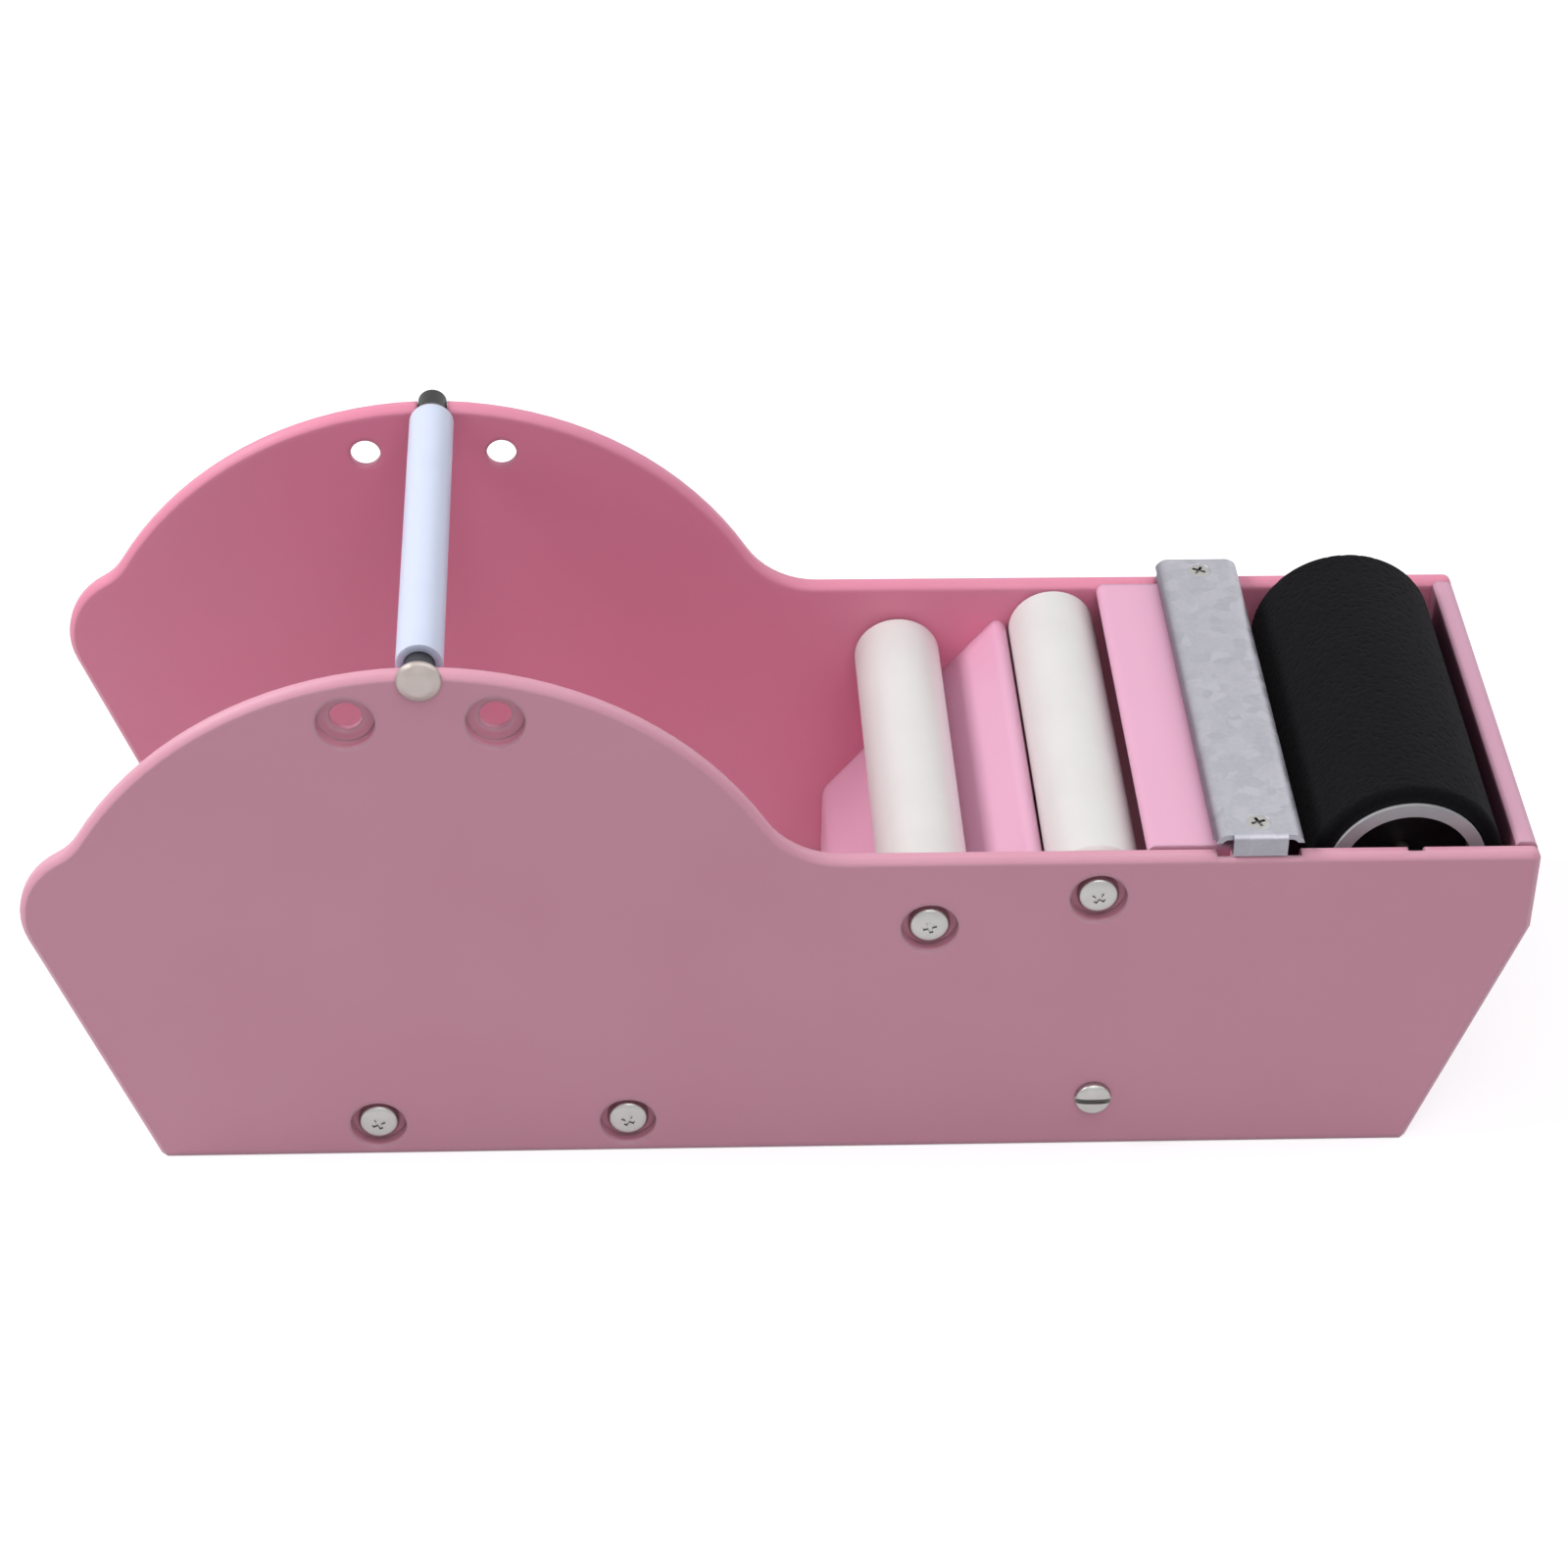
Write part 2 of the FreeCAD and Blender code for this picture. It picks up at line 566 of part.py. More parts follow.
def keeper_rod():
    """The lift-out rod: a crowned head outside the near plate and a pin at the far end."""
    head_in = -HALF_WIDTH - SIDE_PLAY
    head_out = head_in - KEEPER_HEAD_T
    shoulder = HALF_WIDTH - KEEPER_TIP_L
    pin_end = HALF_WIDTH - KEEPER_TIP_L / 2
    return turned(ARCH_X, KEEPER_Z, [
        (head_out, 0), (head_out, KEEPER_CROWN_R), (head_in - KEEPER_RIM_H, KEEPER_HEAD_R),
        (head_in, KEEPER_HEAD_R), (head_in, KEEPER_R), (shoulder, KEEPER_R), (shoulder, KEEPER_PIN_R),
        (pin_end, KEEPER_PIN_R), (pin_end, 0),
    ])


def keeper_tip():
    """The cap on the rod's pin, which lies in the far notch, flush with the plate."""
    start = HALF_WIDTH - KEEPER_TIP_L
    pin_end = HALF_WIDTH - KEEPER_TIP_L / 2
    bore_r = KEEPER_PIN_R + PLUG_CLEAR
    return turned(ARCH_X, KEEPER_Z, [
        (start, bore_r), (start, KEEPER_R), (HALF_WIDTH, KEEPER_R), (HALF_WIDTH, 0), (pin_end, 0),
        (pin_end, bore_r),
    ])


def keeper_sleeve():
    """The tube that the tape roll rubs on, free to turn on the rod."""
    near = -HALF_CLEAR + SLEEVE_NEAR_GAP
    far = HALF_CLEAR - SLEEVE_FAR_GAP
    bore_r = KEEPER_R + RUN_CLEAR
    outer_r = bore_r + SLEEVE_T
    return turned(ARCH_X, KEEPER_Z, [(near, bore_r), (far, bore_r), (far, outer_r), (near, outer_r)])


def wet_hub():
    """The disc inside the near end of the core, bored to run on the axle."""
    start = -CORE_HALF + HUB_INSET
    hole_r = WET_AXLE_R + RUN_CLEAR
    rim_r = CORE_BORE_R - PLUG_CLEAR
    end = start + HUB_T
    return turned(WET_X, WET_Z, [(start, hole_r), (end, hole_r), (end, rim_r), (start, rim_r)])


def axle_screws(side):
    grip = SEAT_WEB + SCREW_GRIP
    place_y = side * (HALF_WIDTH - SEAT_D)
    outward = vec(0, side, 0)
    return [pan_screw(vec(x, place_y, z), outward, AXLE_SCREW, grip) for x, z, _, _ in AXLES.values()]


def tie_screws():
    grip = PLATE_T + SCREW_GRIP
    return [
        pan_screw(vec(TIE_X, side * HALF_WIDTH, TIE_Z), vec(0, side, 0), TIE_SCREW, grip)
        for side in (-1, 1)
    ]


def bar_screws():
    grip = BAR_H + TABLE_T + SCREW_GRIP
    return [flat_screw(vec(BAR_X, side * BAR_SCREW_Y, BAR_TOP), BAR_SCREW, grip) for side in (-1, 1)]


def save(name, *solids):
    shape = solids[0] if len(solids) == 1 else Part.makeCompound(list(solids))
    shape.exportStep("parts/" + name + ".step")
    state = "valid" if shape.isValid() else "BROKEN"
    print(name, len(shape.Solids), "solid", round(shape.Volume), "mm3", state)


os.makedirs("parts", exist_ok=True)

plate = near_plate()
save("near_side_plate", plate)
save("far_side_plate", mirrored(plate))
save("feed_ramp", feed_ramp())
save("feed_table", feed_table())
save("water_tank", water_tank())
save("cutter_bar", cutter_bar())
save("cutter_bar_screws", *bar_screws())
tie_bore_r = TIE_SCREW["shank_r"] + THREAD_CLEAR
save("tie_spacer", tube(TIE_X, TIE_Z, TIE_R, tie_bore_r, HALF_CLEAR))
save("tie_screws", *tie_screws())
save("near_axle_screws", *axle_screws(-1))
save("far_axle_screws", *axle_screws(1))
axle_bore_r = AXLE_SCREW["shank_r"] + THREAD_CLEAR
for roller_name, (axle_x, axle_z, tube_r, tube_bore_r) in AXLES.items():
    save(roller_name + "_axle", tube(axle_x, axle_z, AXLE_R, axle_bore_r, HALF_CLEAR))
    save(roller_name + "_tube", roller_tube(axle_x, axle_z, tube_r, tube_bore_r))
    bush = roller_bush(axle_x, axle_z, tube_bore_r)
    save(roller_name + "_bushes", bush, mirrored(bush))
save("keeper_rod", keeper_rod())
save("keeper_tip", keeper_tip())
save("keeper_sleeve", keeper_sleeve())
axle_half = HALF_CLEAR + SLOT_D - SIDE_PLAY
save("wet_axle", rod(WET_X, WET_Z, WET_AXLE_R, -axle_half, axle_half))
save("wet_core", tube(WET_X, WET_Z, CORE_R, CORE_BORE_R, CORE_HALF))
hub = wet_hub()
save("wet_hubs", hub, mirrored(hub))
save("foam_sleeve", tube(WET_X, WET_Z, FOAM_R, CORE_R + PLUG_CLEAR, CORE_HALF - CORE_PROUD))
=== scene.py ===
# %% [markdown]
# # A desk dispenser for gummed paper tape
# Two moulded side plates hold a bay for a roll of paper tape, a ramp with two guide rollers, a folded
# steel cutter bar and a foam roller that wets the gum. The CAD model already has the exact shape of
# every rigid piece, so the first step only loads it. Blender then adds what CAD leaves out: the
# finishes, the recesses and threads of the screws, and the open-cell foam.

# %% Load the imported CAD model
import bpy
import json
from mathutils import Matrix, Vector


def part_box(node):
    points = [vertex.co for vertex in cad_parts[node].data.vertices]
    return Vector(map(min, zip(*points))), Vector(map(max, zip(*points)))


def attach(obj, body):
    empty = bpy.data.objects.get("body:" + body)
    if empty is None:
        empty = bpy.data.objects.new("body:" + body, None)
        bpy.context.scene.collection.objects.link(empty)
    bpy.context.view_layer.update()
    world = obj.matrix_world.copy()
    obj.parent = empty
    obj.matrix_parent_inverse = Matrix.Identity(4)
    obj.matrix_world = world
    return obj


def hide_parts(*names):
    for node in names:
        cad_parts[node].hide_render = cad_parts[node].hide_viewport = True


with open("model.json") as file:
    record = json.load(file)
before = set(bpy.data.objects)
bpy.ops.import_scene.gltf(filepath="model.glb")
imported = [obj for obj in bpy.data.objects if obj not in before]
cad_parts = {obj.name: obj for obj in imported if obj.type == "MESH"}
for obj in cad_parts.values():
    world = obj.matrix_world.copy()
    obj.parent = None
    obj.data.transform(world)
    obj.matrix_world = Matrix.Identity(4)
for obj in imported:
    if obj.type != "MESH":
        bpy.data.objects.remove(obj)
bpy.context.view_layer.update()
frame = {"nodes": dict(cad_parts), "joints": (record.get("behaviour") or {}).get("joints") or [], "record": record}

# %% [markdown]
# ## Units, colours and one way to add a node
# The CAD frame is in metres, while sizes on a product are thought of in millimetres, so one constant
# joins the two. Colours are written as sRGB hex values, which is how a colour picker shows them, and
# shaders want linear light, so one function turns the one into the other. Every node tree below is
# built with one small function that adds a node, sets its settings and fills or links its inputs.

# %% Small helpers
import json
import math

import bmesh
import bpy
from mathutils import Matrix, Vector, noise

MM = 0.001
PER_M = 1000.0


def colour(hex_code):
    """Linear RGBA of an sRGB hex value."""
    channels = [int(hex_code[i:i + 2], 16) / 255 for i in (1, 3, 5)]
    linear = [c / 12.92 if c <= 0.04045 else ((c + 0.055) / 1.055) ** 2.4 for c in channels]
    return (*linear, 1.0)


def add(tree, kind, inputs=None, **settings):
    """Adds one node with its settings, and gives each named input a value or a link."""
    node = tree.nodes.new(kind)
    for name, value in settings.items():
        setattr(node, name, value)
    for key, value in (inputs or {}).items():
        if isinstance(value, bpy.types.NodeSocket):
            tree.links.new(value, node.inputs[key])
        else:
            node.inputs[key].default_value = value
    return node


def new_material(name):
    """An empty node material and its tree."""
    material = bpy.data.materials.new(name)
    material.use_nodes = True
    material.node_tree.nodes.clear()
    return material, material.node_tree


print("helpers ready; 1 mm is", MM, "m")

# %% [markdown]
# ## The camera
# The photograph looks down on the near side plate from the front, with the roll bay on the left. The
# place, turn and focal length were solved from the corners of the two plates, which are mirror images
# of each other. A camera can be aimed with a constraint, but a matrix built from the solved angles
# also keeps the slight roll.

# %% Camera
IMAGE_PX = 1600
FOCAL_PX = 4101.0
CAMERA_MM = (-38.0, -679.8, 546.7)
SENSOR_MM = 36.0
CLIP_NEAR, CLIP_FAR = 0.05, 30.0
PITCH, YAW, ROLL = (math.radians(a) for a in (35.82, 3.40, 1.39))

forward = Vector((math.sin(YAW) * math.cos(PITCH), math.cos(YAW) * math.cos(PITCH), -math.sin(PITCH)))
level_right = Vector((math.cos(YAW), -math.sin(YAW), 0.0))
level_up = level_right.cross(forward)
right = math.cos(ROLL) * level_right + math.sin(ROLL) * level_up
up = math.cos(ROLL) * level_up - math.sin(ROLL) * level_right

lens = bpy.data.cameras.new("photo_camera")
lens.sensor_width = SENSOR_MM
lens.lens = FOCAL_PX / IMAGE_PX * lens.sensor_width
lens.clip_start, lens.clip_end = CLIP_NEAR, CLIP_FAR
camera = bpy.data.objects.new("photo_camera", lens)
turn = Matrix((right, up, -forward)).transposed().to_4x4()
camera.matrix_world = Matrix.Translation(Vector(CAMERA_MM) * MM) @ turn
bpy.context.scene.collection.objects.link(camera)
bpy.context.scene.camera = camera
print("camera with a lens of", round(lens.lens, 2), "mm")

# %% [markdown]
# ## Floor and studio light
# The product stands on white. A big pale floor catches its soft shadow, and a little emission that
# only camera, mirror and glass rays can see lifts the floor to white without putting more light on
# the object, and more so outside the pool of the lamps. The main light is a softbox high on the left:
# in the photograph the left-hand edges are nearly white, the near face is dull and each roller shades
# what lies to the right of it. A larger box on the right, one high in front and the pale surroundings
# fill the rest.

# %% Floor, world and lamps
bpy.context.scene.view_settings.view_transform = "Standard"

FLOOR_HALF = 6.0
FLOOR_GAP = 0.2 * MM
FLOOR_LIFT = 0.60
LAMP_POOL, POOL_EDGE = 0.7, 1.8


def backdrop_rays(tree):
    """1 for camera, mirror and glass rays, which see the backdrop; 0 for rays that carry light."""
    rays = add(tree, "ShaderNodeLightPath").outputs
    seen = add(tree, "ShaderNodeMath", {
        0: rays["Is Camera Ray"], 1: rays["Is Glossy Ray"]}, operation="MAXIMUM")
    seen = add(tree, "ShaderNodeMath", {
        0: seen.outputs[0], 1: rays["Is Transmission Ray"]}, operation="MAXIMUM")
    return seen.outputs[0]


paper, tree = new_material("white_paper_backdrop")
place = add(tree, "ShaderNodeTexCoord").outputs["Object"]
away = add(tree, "ShaderNodeVectorMath", {0: place}, operation="LENGTH")
needed = add(tree, "ShaderNodeMapRange", {
    "Value": away.outputs["Value"], "From Min": LAMP_POOL, "From Max": POOL_EDGE,
    "To Min": FLOOR_LIFT, "To Max": 1.0})
lift = add(tree, "ShaderNodeMath", {0: backdrop_rays(tree), 1: needed.outputs[0]}, operation="MULTIPLY")
fibres = add(tree, "ShaderNodeTexNoise", {"Vector": place, "Scale": PER_M / 40.0})
tone = add(tree, "ShaderNodeMix", {
    0: fibres.outputs[0], 6: colour("#C6C6C7"), 7: colour("#CBCBCB")}, data_type="RGBA")
matt = add(tree, "ShaderNodeBsdfDiffuse", {"Color": tone.outputs[2]})
glow = add(tree, "ShaderNodeEmission", {"Color": colour("#FFFFFF"), "Strength": lift.outputs[0]})
both = add(tree, "ShaderNodeAddShader", {0: matt.outputs[0], 1: glow.outputs[0]})
add(tree, "ShaderNodeOutputMaterial", {"Surface": both.outputs[0]})

corners = [(x * FLOOR_HALF, y * FLOOR_HALF, -FLOOR_GAP) for x, y in ((-1, -1), (1, -1), (1, 1), (-1, 1))]
floor_mesh = bpy.data.meshes.new("studio_floor")
floor_mesh.from_pydata(corners, [], [(0, 1, 2, 3)])
floor_mesh.materials.append(paper)
floor = bpy.data.objects.new("studio_floor", floor_mesh)
bpy.context.scene.collection.objects.link(floor)

WORLD_LIGHT = 0.28
world = bpy.data.worlds.new("pale_surroundings")
world.use_nodes = True
world.node_tree.nodes.clear()
tree = world.node_tree
around = add(tree, "ShaderNodeBackground", {"Color": colour("#F4F6FF"), "Strength": WORLD_LIGHT})
behind = add(tree, "ShaderNodeBackground", {"Color": colour("#FFFFFF"), "Strength": 1.0})
choice = add(tree, "ShaderNodeMixShader", {
    0: backdrop_rays(tree), 1: around.outputs[0], 2: behind.outputs[0]})
add(tree, "ShaderNodeOutputWorld", {"Surface": choice.outputs[0]})
bpy.context.scene.world = world

LAMPS = {
    "left_softbox": {"place": (-0.88, 0.04, 0.85), "size": 0.45, "power": 9.5},
    "right_softbox": {"place": (0.80, 0.20, 0.90), "size": 0.9, "power": 4.2},
    "front_fill": {"place": (0.1, -0.60, 1.15), "size": 0.8, "power": 4.4},
}
AIM = Vector((0.0, 0.0, 0.05))
for name, lamp in LAMPS.items():
    light = bpy.data.lights.new(name, "AREA")
    light.shape = "SQUARE"
    light.size = lamp["size"]
    light.energy = lamp["power"]
    holder = bpy.data.objects.new(name, light)
    holder.location = lamp["place"]
    holder.rotation_euler = (AIM - holder.location).to_track_quat("-Z", "Y").to_euler()
    bpy.context.scene.collection.objects.link(holder)
print("floor, world and", len(LAMPS), "lamps")

# %% [markdown]
# ## Pink ABS
# The plates, ramp, table and tank are injection-moulded ABS in a pale pink. A textured mould leaves a
# fine grain that makes it satin rather than glossy, and the colour clouds a little from flow in the mould.
# The edges are painted paler: partly wear from handling, partly a painted highlight where they catch the
# light. The plates are painted a duller pink than the ramp and table, which face up to the lamps: shaded
# and lit copies of one pink. Between the plates, where light goes from wall to wall, the pink is painted
# deeper: painted bounce light. The grain is about 0.3 mm on the real part and is drawn at 0.8 mm so that
# it shows. The Bevel node rounds the shading of the edges, as the mould does, and finds them without any
# UV map: where the rounded normal and the true one differ, an edge is near. Narrow gaps such as the rings
# round the screw heads are painted darker where ambient occlusion finds them: painted shade. In the
# trough the walls are painted dark up to a line under the rim: painted shade. A few planes mark what lies
# inside: a point behind all of them is. The tank's front wall leans in below its knee, so one plane
# leans too. The far plate has fainter pale edges and takes the deeper tone on all but its outer face:
# painted shade and painted bounce light.

# %% Pink ABS
CLOUD_MM, PATCH_MM = 55.0, 18.0
GRAIN_MM, GRAIN_HEIGHT = 0.8, 0.05 * MM
EDGE_RADIUS = 1.8 * MM
GAP_SHADE_REACH = 1.6 * MM
PAINTED_TONE_FADE = 0.3 * MM


def pink_moulding(name, low_tone, high_tone, wear_and_highlight, painted_inside_tone="", painted_inside_planes=()):
    """Satin ABS with paler edges, partly wear and partly painted highlight, painted shade in narrow gaps, and
    behind all of the planes the painted inside tone.
    """
    material, tree = new_material(name)
    place = add(tree, "ShaderNodeTexCoord").outputs["Object"]
    cloud = add(tree, "ShaderNodeTexNoise", {"Vector": place, "Scale": PER_M / CLOUD_MM, "Detail": 3.0})
    body = add(tree, "ShaderNodeMix", {
        0: cloud.outputs[0], 6: colour(low_tone), 7: colour(high_tone)}, data_type="RGBA")
    behind = None
    for facing, offset in painted_inside_planes:
        along = add(tree, "ShaderNodeVectorMath", {0: place, 1: facing}, operation="DOT_PRODUCT")
        depth = add(tree, "ShaderNodeMath", {0: offset, 1: along.outputs["Value"]}, operation="SUBTRACT")
        if behind:
            depth = add(tree, "ShaderNodeMath", {
                0: depth.outputs[0], 1: behind.outputs[0]}, operation="MINIMUM")
        behind = depth
    # Painted bounce light between the plates, and painted shade in the trough: behind all of the planes the colour
    # turns to the painted inside tone, a little unevenly.
    if behind:
        painted_inside = add(tree, "ShaderNodeMapRange", {"Value": behind.outputs[0], "From Max": PAINTED_TONE_FADE})
        uneven = add(tree, "ShaderNodeMapRange", {
            "Value": cloud.outputs[0], "From Min": 0.3, "From Max": 0.7, "To Min": 1.0, "To Max": 0.75})
        painted_inside = add(tree, "ShaderNodeMath", {
            0: painted_inside.outputs[0], 1: uneven.outputs[0]}, operation="MULTIPLY")
        body = add(tree, "ShaderNodeMix", {
            0: painted_inside.outputs[0], 6: body.outputs[2], 7: colour(painted_inside_tone)}, data_type="RGBA")
    rounded = add(tree, "ShaderNodeBevel", {"Radius": EDGE_RADIUS}, samples=4)
    true_normal = add(tree, "ShaderNodeNewGeometry").outputs["Normal"]
    flat = add(tree, "ShaderNodeVectorMath", {
        0: rounded.outputs[0], 1: true_normal}, operation="DOT_PRODUCT")
    # Paler edges, partly wear and partly painted highlight: where the rounded normal leaves the true one, the
    # colour turns towards #F3CBD8.
    edge = add(tree, "ShaderNodeMapRange", {
        "Value": flat.outputs["Value"], "From Min": 0.96, "From Max": 0.75, "To Max": wear_and_highlight})
    worn_and_highlit = add(tree, "ShaderNodeMix", {
        0: edge.outputs[0], 6: body.outputs[2], 7: colour("#F3CBD8")}, data_type="RGBA")
    # Painted shade: narrow gaps, such as the rings round the screw heads, darken towards #53303B where ambient
    # occlusion finds them.
    shade_occlusion = add(tree, "ShaderNodeAmbientOcclusion", {"Distance": GAP_SHADE_REACH}, samples=6)
    painted_gap_shade = add(tree, "ShaderNodeMapRange", {
        "Value": shade_occlusion.outputs["AO"], "From Min": 0.42, "From Max": 0.12, "To Max": 0.8})
    gap_shaded = add(tree, "ShaderNodeMix", {
        0: painted_gap_shade.outputs[0], 6: worn_and_highlit.outputs[2], 7: colour("#53303B")}, data_type="RGBA")
    grain = add(tree, "ShaderNodeTexNoise", {"Vector": place, "Scale": PER_M / GRAIN_MM, "Detail": 2.0})
    relief = add(tree, "ShaderNodeBump", {
        "Height": grain.outputs[0], "Strength": 0.25, "Distance": GRAIN_HEIGHT,
        "Normal": rounded.outputs[0]})
    patch = add(tree, "ShaderNodeTexNoise", {"Vector": place, "Scale": PER_M / PATCH_MM, "Detail": 4.0})
    satin = add(tree, "ShaderNodeMapRange", {
        "Value": patch.outputs[0], "From Min": 0.3, "From Max": 0.7, "To Min": 0.38, "To Max": 0.50})
    skin = add(tree, "ShaderNodeBsdfPrincipled", {
        "Base Color": gap_shaded.outputs[2], "Roughness": satin.outputs[0], "Normal": relief.outputs[0],
        "IOR": 1.53})
    add(tree, "ShaderNodeOutputMaterial", {"Surface": skin.outputs[0]})
    return material


CHAMFER = 1.2 * MM
# The trough's walls are painted dark below a line under the rim, down to a little under the foam: painted shade.
SHADE_TOP_UNDER_RIM, IN_FRONT_WALL, IN_BACK_WALL, IN_BOTTOM = 0.6 * MM, 3.5 * MM, 1.5 * MM, 1.0 * MM
SHADE_UNDER_FOAM = 8.0 * MM
KNEE_HEIGHT, FOOT_INSET = 54.6 * MM, 19.4 * MM
bay_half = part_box("feed_ramp")[1].y + CHAMFER
between_plates = [((0.0, 1.0, 0.0), bay_half), ((0.0, -1.0, 0.0), bay_half)]
low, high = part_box("water_tank")
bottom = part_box("foam_sleeve")[0].z - SHADE_UNDER_FOAM
slant = Vector((KNEE_HEIGHT, 0.0, -FOOT_INSET)).normalized()
shaded_trough_planes = [
    ((0.0, 0.0, 1.0), high.z - SHADE_TOP_UNDER_RIM), ((0.0, 0.0, -1.0), IN_BOTTOM - bottom),
    ((1.0, 0.0, 0.0), high.x - IN_FRONT_WALL), ((-1.0, 0.0, 0.0), -low.x - IN_BACK_WALL),
    (slant, slant.dot(Vector((high.x, 0.0, KNEE_HEIGHT))) - IN_FRONT_WALL),
]
# The far plate is a shaded copy: all but its outer face takes the deeper tone of painted bounce light, and its
# edges get only a faint painted highlight.
far_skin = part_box("far_side_plate")[1].y - PAINTED_TONE_FADE
up_to_far_skin = [((0.0, 1.0, 0.0), far_skin)]
# The plates take a duller pink than the ramp and table below, which face up to the lamps: shaded and lit copies of
# one ABS, painted shade on the plates and painted light on the inserts.
plate_pink = pink_moulding("pink_abs_plate", "#D893A8", "#DF9FB3", 0.6, "#E689A6", between_plates)
far_plate_shaded_copy = pink_moulding(
    "pink_abs_far_plate_shaded", "#D893A8", "#DF9FB3", 0.1, "#E689A6", up_to_far_skin)
insert_pink_lit_copy = pink_moulding("pink_abs_insert_lit", "#E0A6C1", "#E6AFC9", 0.5)
tank_pink_shaded_inside = pink_moulding("pink_abs_tank", "#CE98AF", "#D4A1B7", 0.5, "#7E4C5F", shaded_trough_planes)
print("materials", plate_pink.name, far_plate_shaded_copy.name, insert_pink_lit_copy.name, tank_pink_shaded_inside.name)

# %% [markdown]
# ## White plastic tube
# The guide rollers and the sleeve on the keeper rod are cut from extruded tube. The die draws faint
# lines along the tube, and handling leaves slightly duller patches. Light goes a few millimetres into
# white plastic, so the side away from the lamp and the cut ends stay bright. The keeper sleeve is a
# colder white than the rollers, so one function makes both tones. Stretching the noise along Y, the
# axis of every roller, turns specks into drawn lines.

# %% White tube
LINE_MM, LINE_HEIGHT = 1.5, 0.03 * MM
DRAWN_OUT = 0.02
DULL_PATCH_MM = 14.0
GLOW_DEPTH = 2.5 * MM


def tube_plastic(name, clean, dull):
    """Extruded plastic tube: faint lines along the axis and duller patches."""
    material, tree = new_material(name)
    place = add(tree, "ShaderNodeTexCoord").outputs["Object"]
    along = add(tree, "ShaderNodeMapping", {"Vector": place, "Scale": (1.0, DRAWN_OUT, 1.0)})
    lines = add(tree, "ShaderNodeTexNoise", {
        "Vector": along.outputs[0], "Scale": PER_M / LINE_MM, "Detail": 2.0})
    patches = add(tree, "ShaderNodeTexNoise", {
        "Vector": place, "Scale": PER_M / DULL_PATCH_MM, "Detail": 4.0})
    amount = add(tree, "ShaderNodeMapRange", {
        "Value": patches.outputs[0], "From Min": 0.45, "From Max": 0.75, "To Max": 0.35})
    tone = add(tree, "ShaderNodeMix", {
        0: amount.outputs[0], 6: colour(clean), 7: colour(dull)}, data_type="RGBA")
    relief = add(tree, "ShaderNodeBump", {
        "Height": lines.outputs[0], "Strength": 0.3, "Distance": LINE_HEIGHT})
    satin = add(tree, "ShaderNodeMapRange", {
        "Value": patches.outputs[0], "From Min": 0.3, "From Max": 0.7, "To Min": 0.34, "To Max": 0.46})
    skin = add(tree, "ShaderNodeBsdfPrincipled", {
        "Base Color": tone.outputs[2], "Roughness": satin.outputs[0], "Normal": relief.outputs[0],
        "IOR": 1.52, "Subsurface Weight": 0.5, "Subsurface Radius": (1.0, 1.0, 1.0),
        "Subsurface Scale": GLOW_DEPTH})
    add(tree, "ShaderNodeOutputMaterial", {"Surface": skin.outputs[0]})
    return material


roller_white = tube_plastic("white_pvc_tube", "#DDDBD8", "#D1CFCB")
sleeve_white = tube_plastic("cool_white_pp_tube", "#D0D8EE", "#C4CCE2")
print("materials", roller_white.name, sleeve_white.name)

# %% [markdown]
# ## Galvanised sheet
# The cutter bar is folded from hot-dip galvanised sheet. The zinc freezes into flat crystals, called
# spangle, each a slightly different grey, and rolling and the passing tape leave fine lines along it.
# A Voronoi texture gives the crystals: each cell has its own random value. Shade is painted on the bend
# that the tape comes up against, and a little on the end tabs: the more a face leans down and towards the
# roll, which the normal in object space tells, the darker it is.

# %% Galvanised sheet
SPANGLE_MM, SPECK_MM = 3.0, 0.9
WARP_MM, WARP = 6.0, 3.0 * MM
ROLL_LINE_MM, ROLL_LINE_HEIGHT, ROLLED_OUT = 0.7, 0.03 * MM, 0.03
zinc_sheet, tree = new_material("galvanised_steel_sheet")
place = add(tree, "ShaderNodeTexCoord").outputs["Object"]
warp = add(tree, "ShaderNodeTexNoise", {"Vector": place, "Scale": PER_M / WARP_MM, "Detail": 3.0})
bent = add(tree, "ShaderNodeVectorMath", {
    0: warp.outputs[1], 1: (WARP, WARP, WARP), 2: place}, operation="MULTIPLY_ADD")
spangle = add(tree, "ShaderNodeTexVoronoi", {"Vector": bent.outputs[0], "Scale": PER_M / SPANGLE_MM})
shade = add(tree, "ShaderNodeSeparateColor", {0: spangle.outputs["Color"]})
speck = add(tree, "ShaderNodeTexNoise", {"Vector": place, "Scale": PER_M / SPECK_MM, "Detail": 3.0})
mottle = add(tree, "ShaderNodeMath", {
    0: shade.outputs[0], 1: 0.6, 2: speck.outputs[0]}, operation="MULTIPLY_ADD")
tone = add(tree, "ShaderNodeMapRange", {
    "Value": mottle.outputs[0], "From Min": 0.35, "From Max": 1.1})
grey = add(tree, "ShaderNodeMix", {
    0: tone.outputs[0], 6: colour("#A8A8AF"), 7: colour("#B4B3BB")}, data_type="RGBA")
lean = add(tree, "ShaderNodeSeparateXYZ", {0: add(tree, "ShaderNodeTexCoord").outputs["Normal"]})
bent_down = add(tree, "ShaderNodeMapRange", {
    "Value": lean.outputs[2], "From Min": 0.97, "From Max": 0.55})
tape_side = add(tree, "ShaderNodeMapRange", {
    "Value": lean.outputs[0], "From Min": 0.25, "From Max": -0.25, "To Max": 0.75})
painted_bend_shade = add(tree, "ShaderNodeMath", {
    0: bent_down.outputs[0], 1: tape_side.outputs[0]}, operation="MULTIPLY")
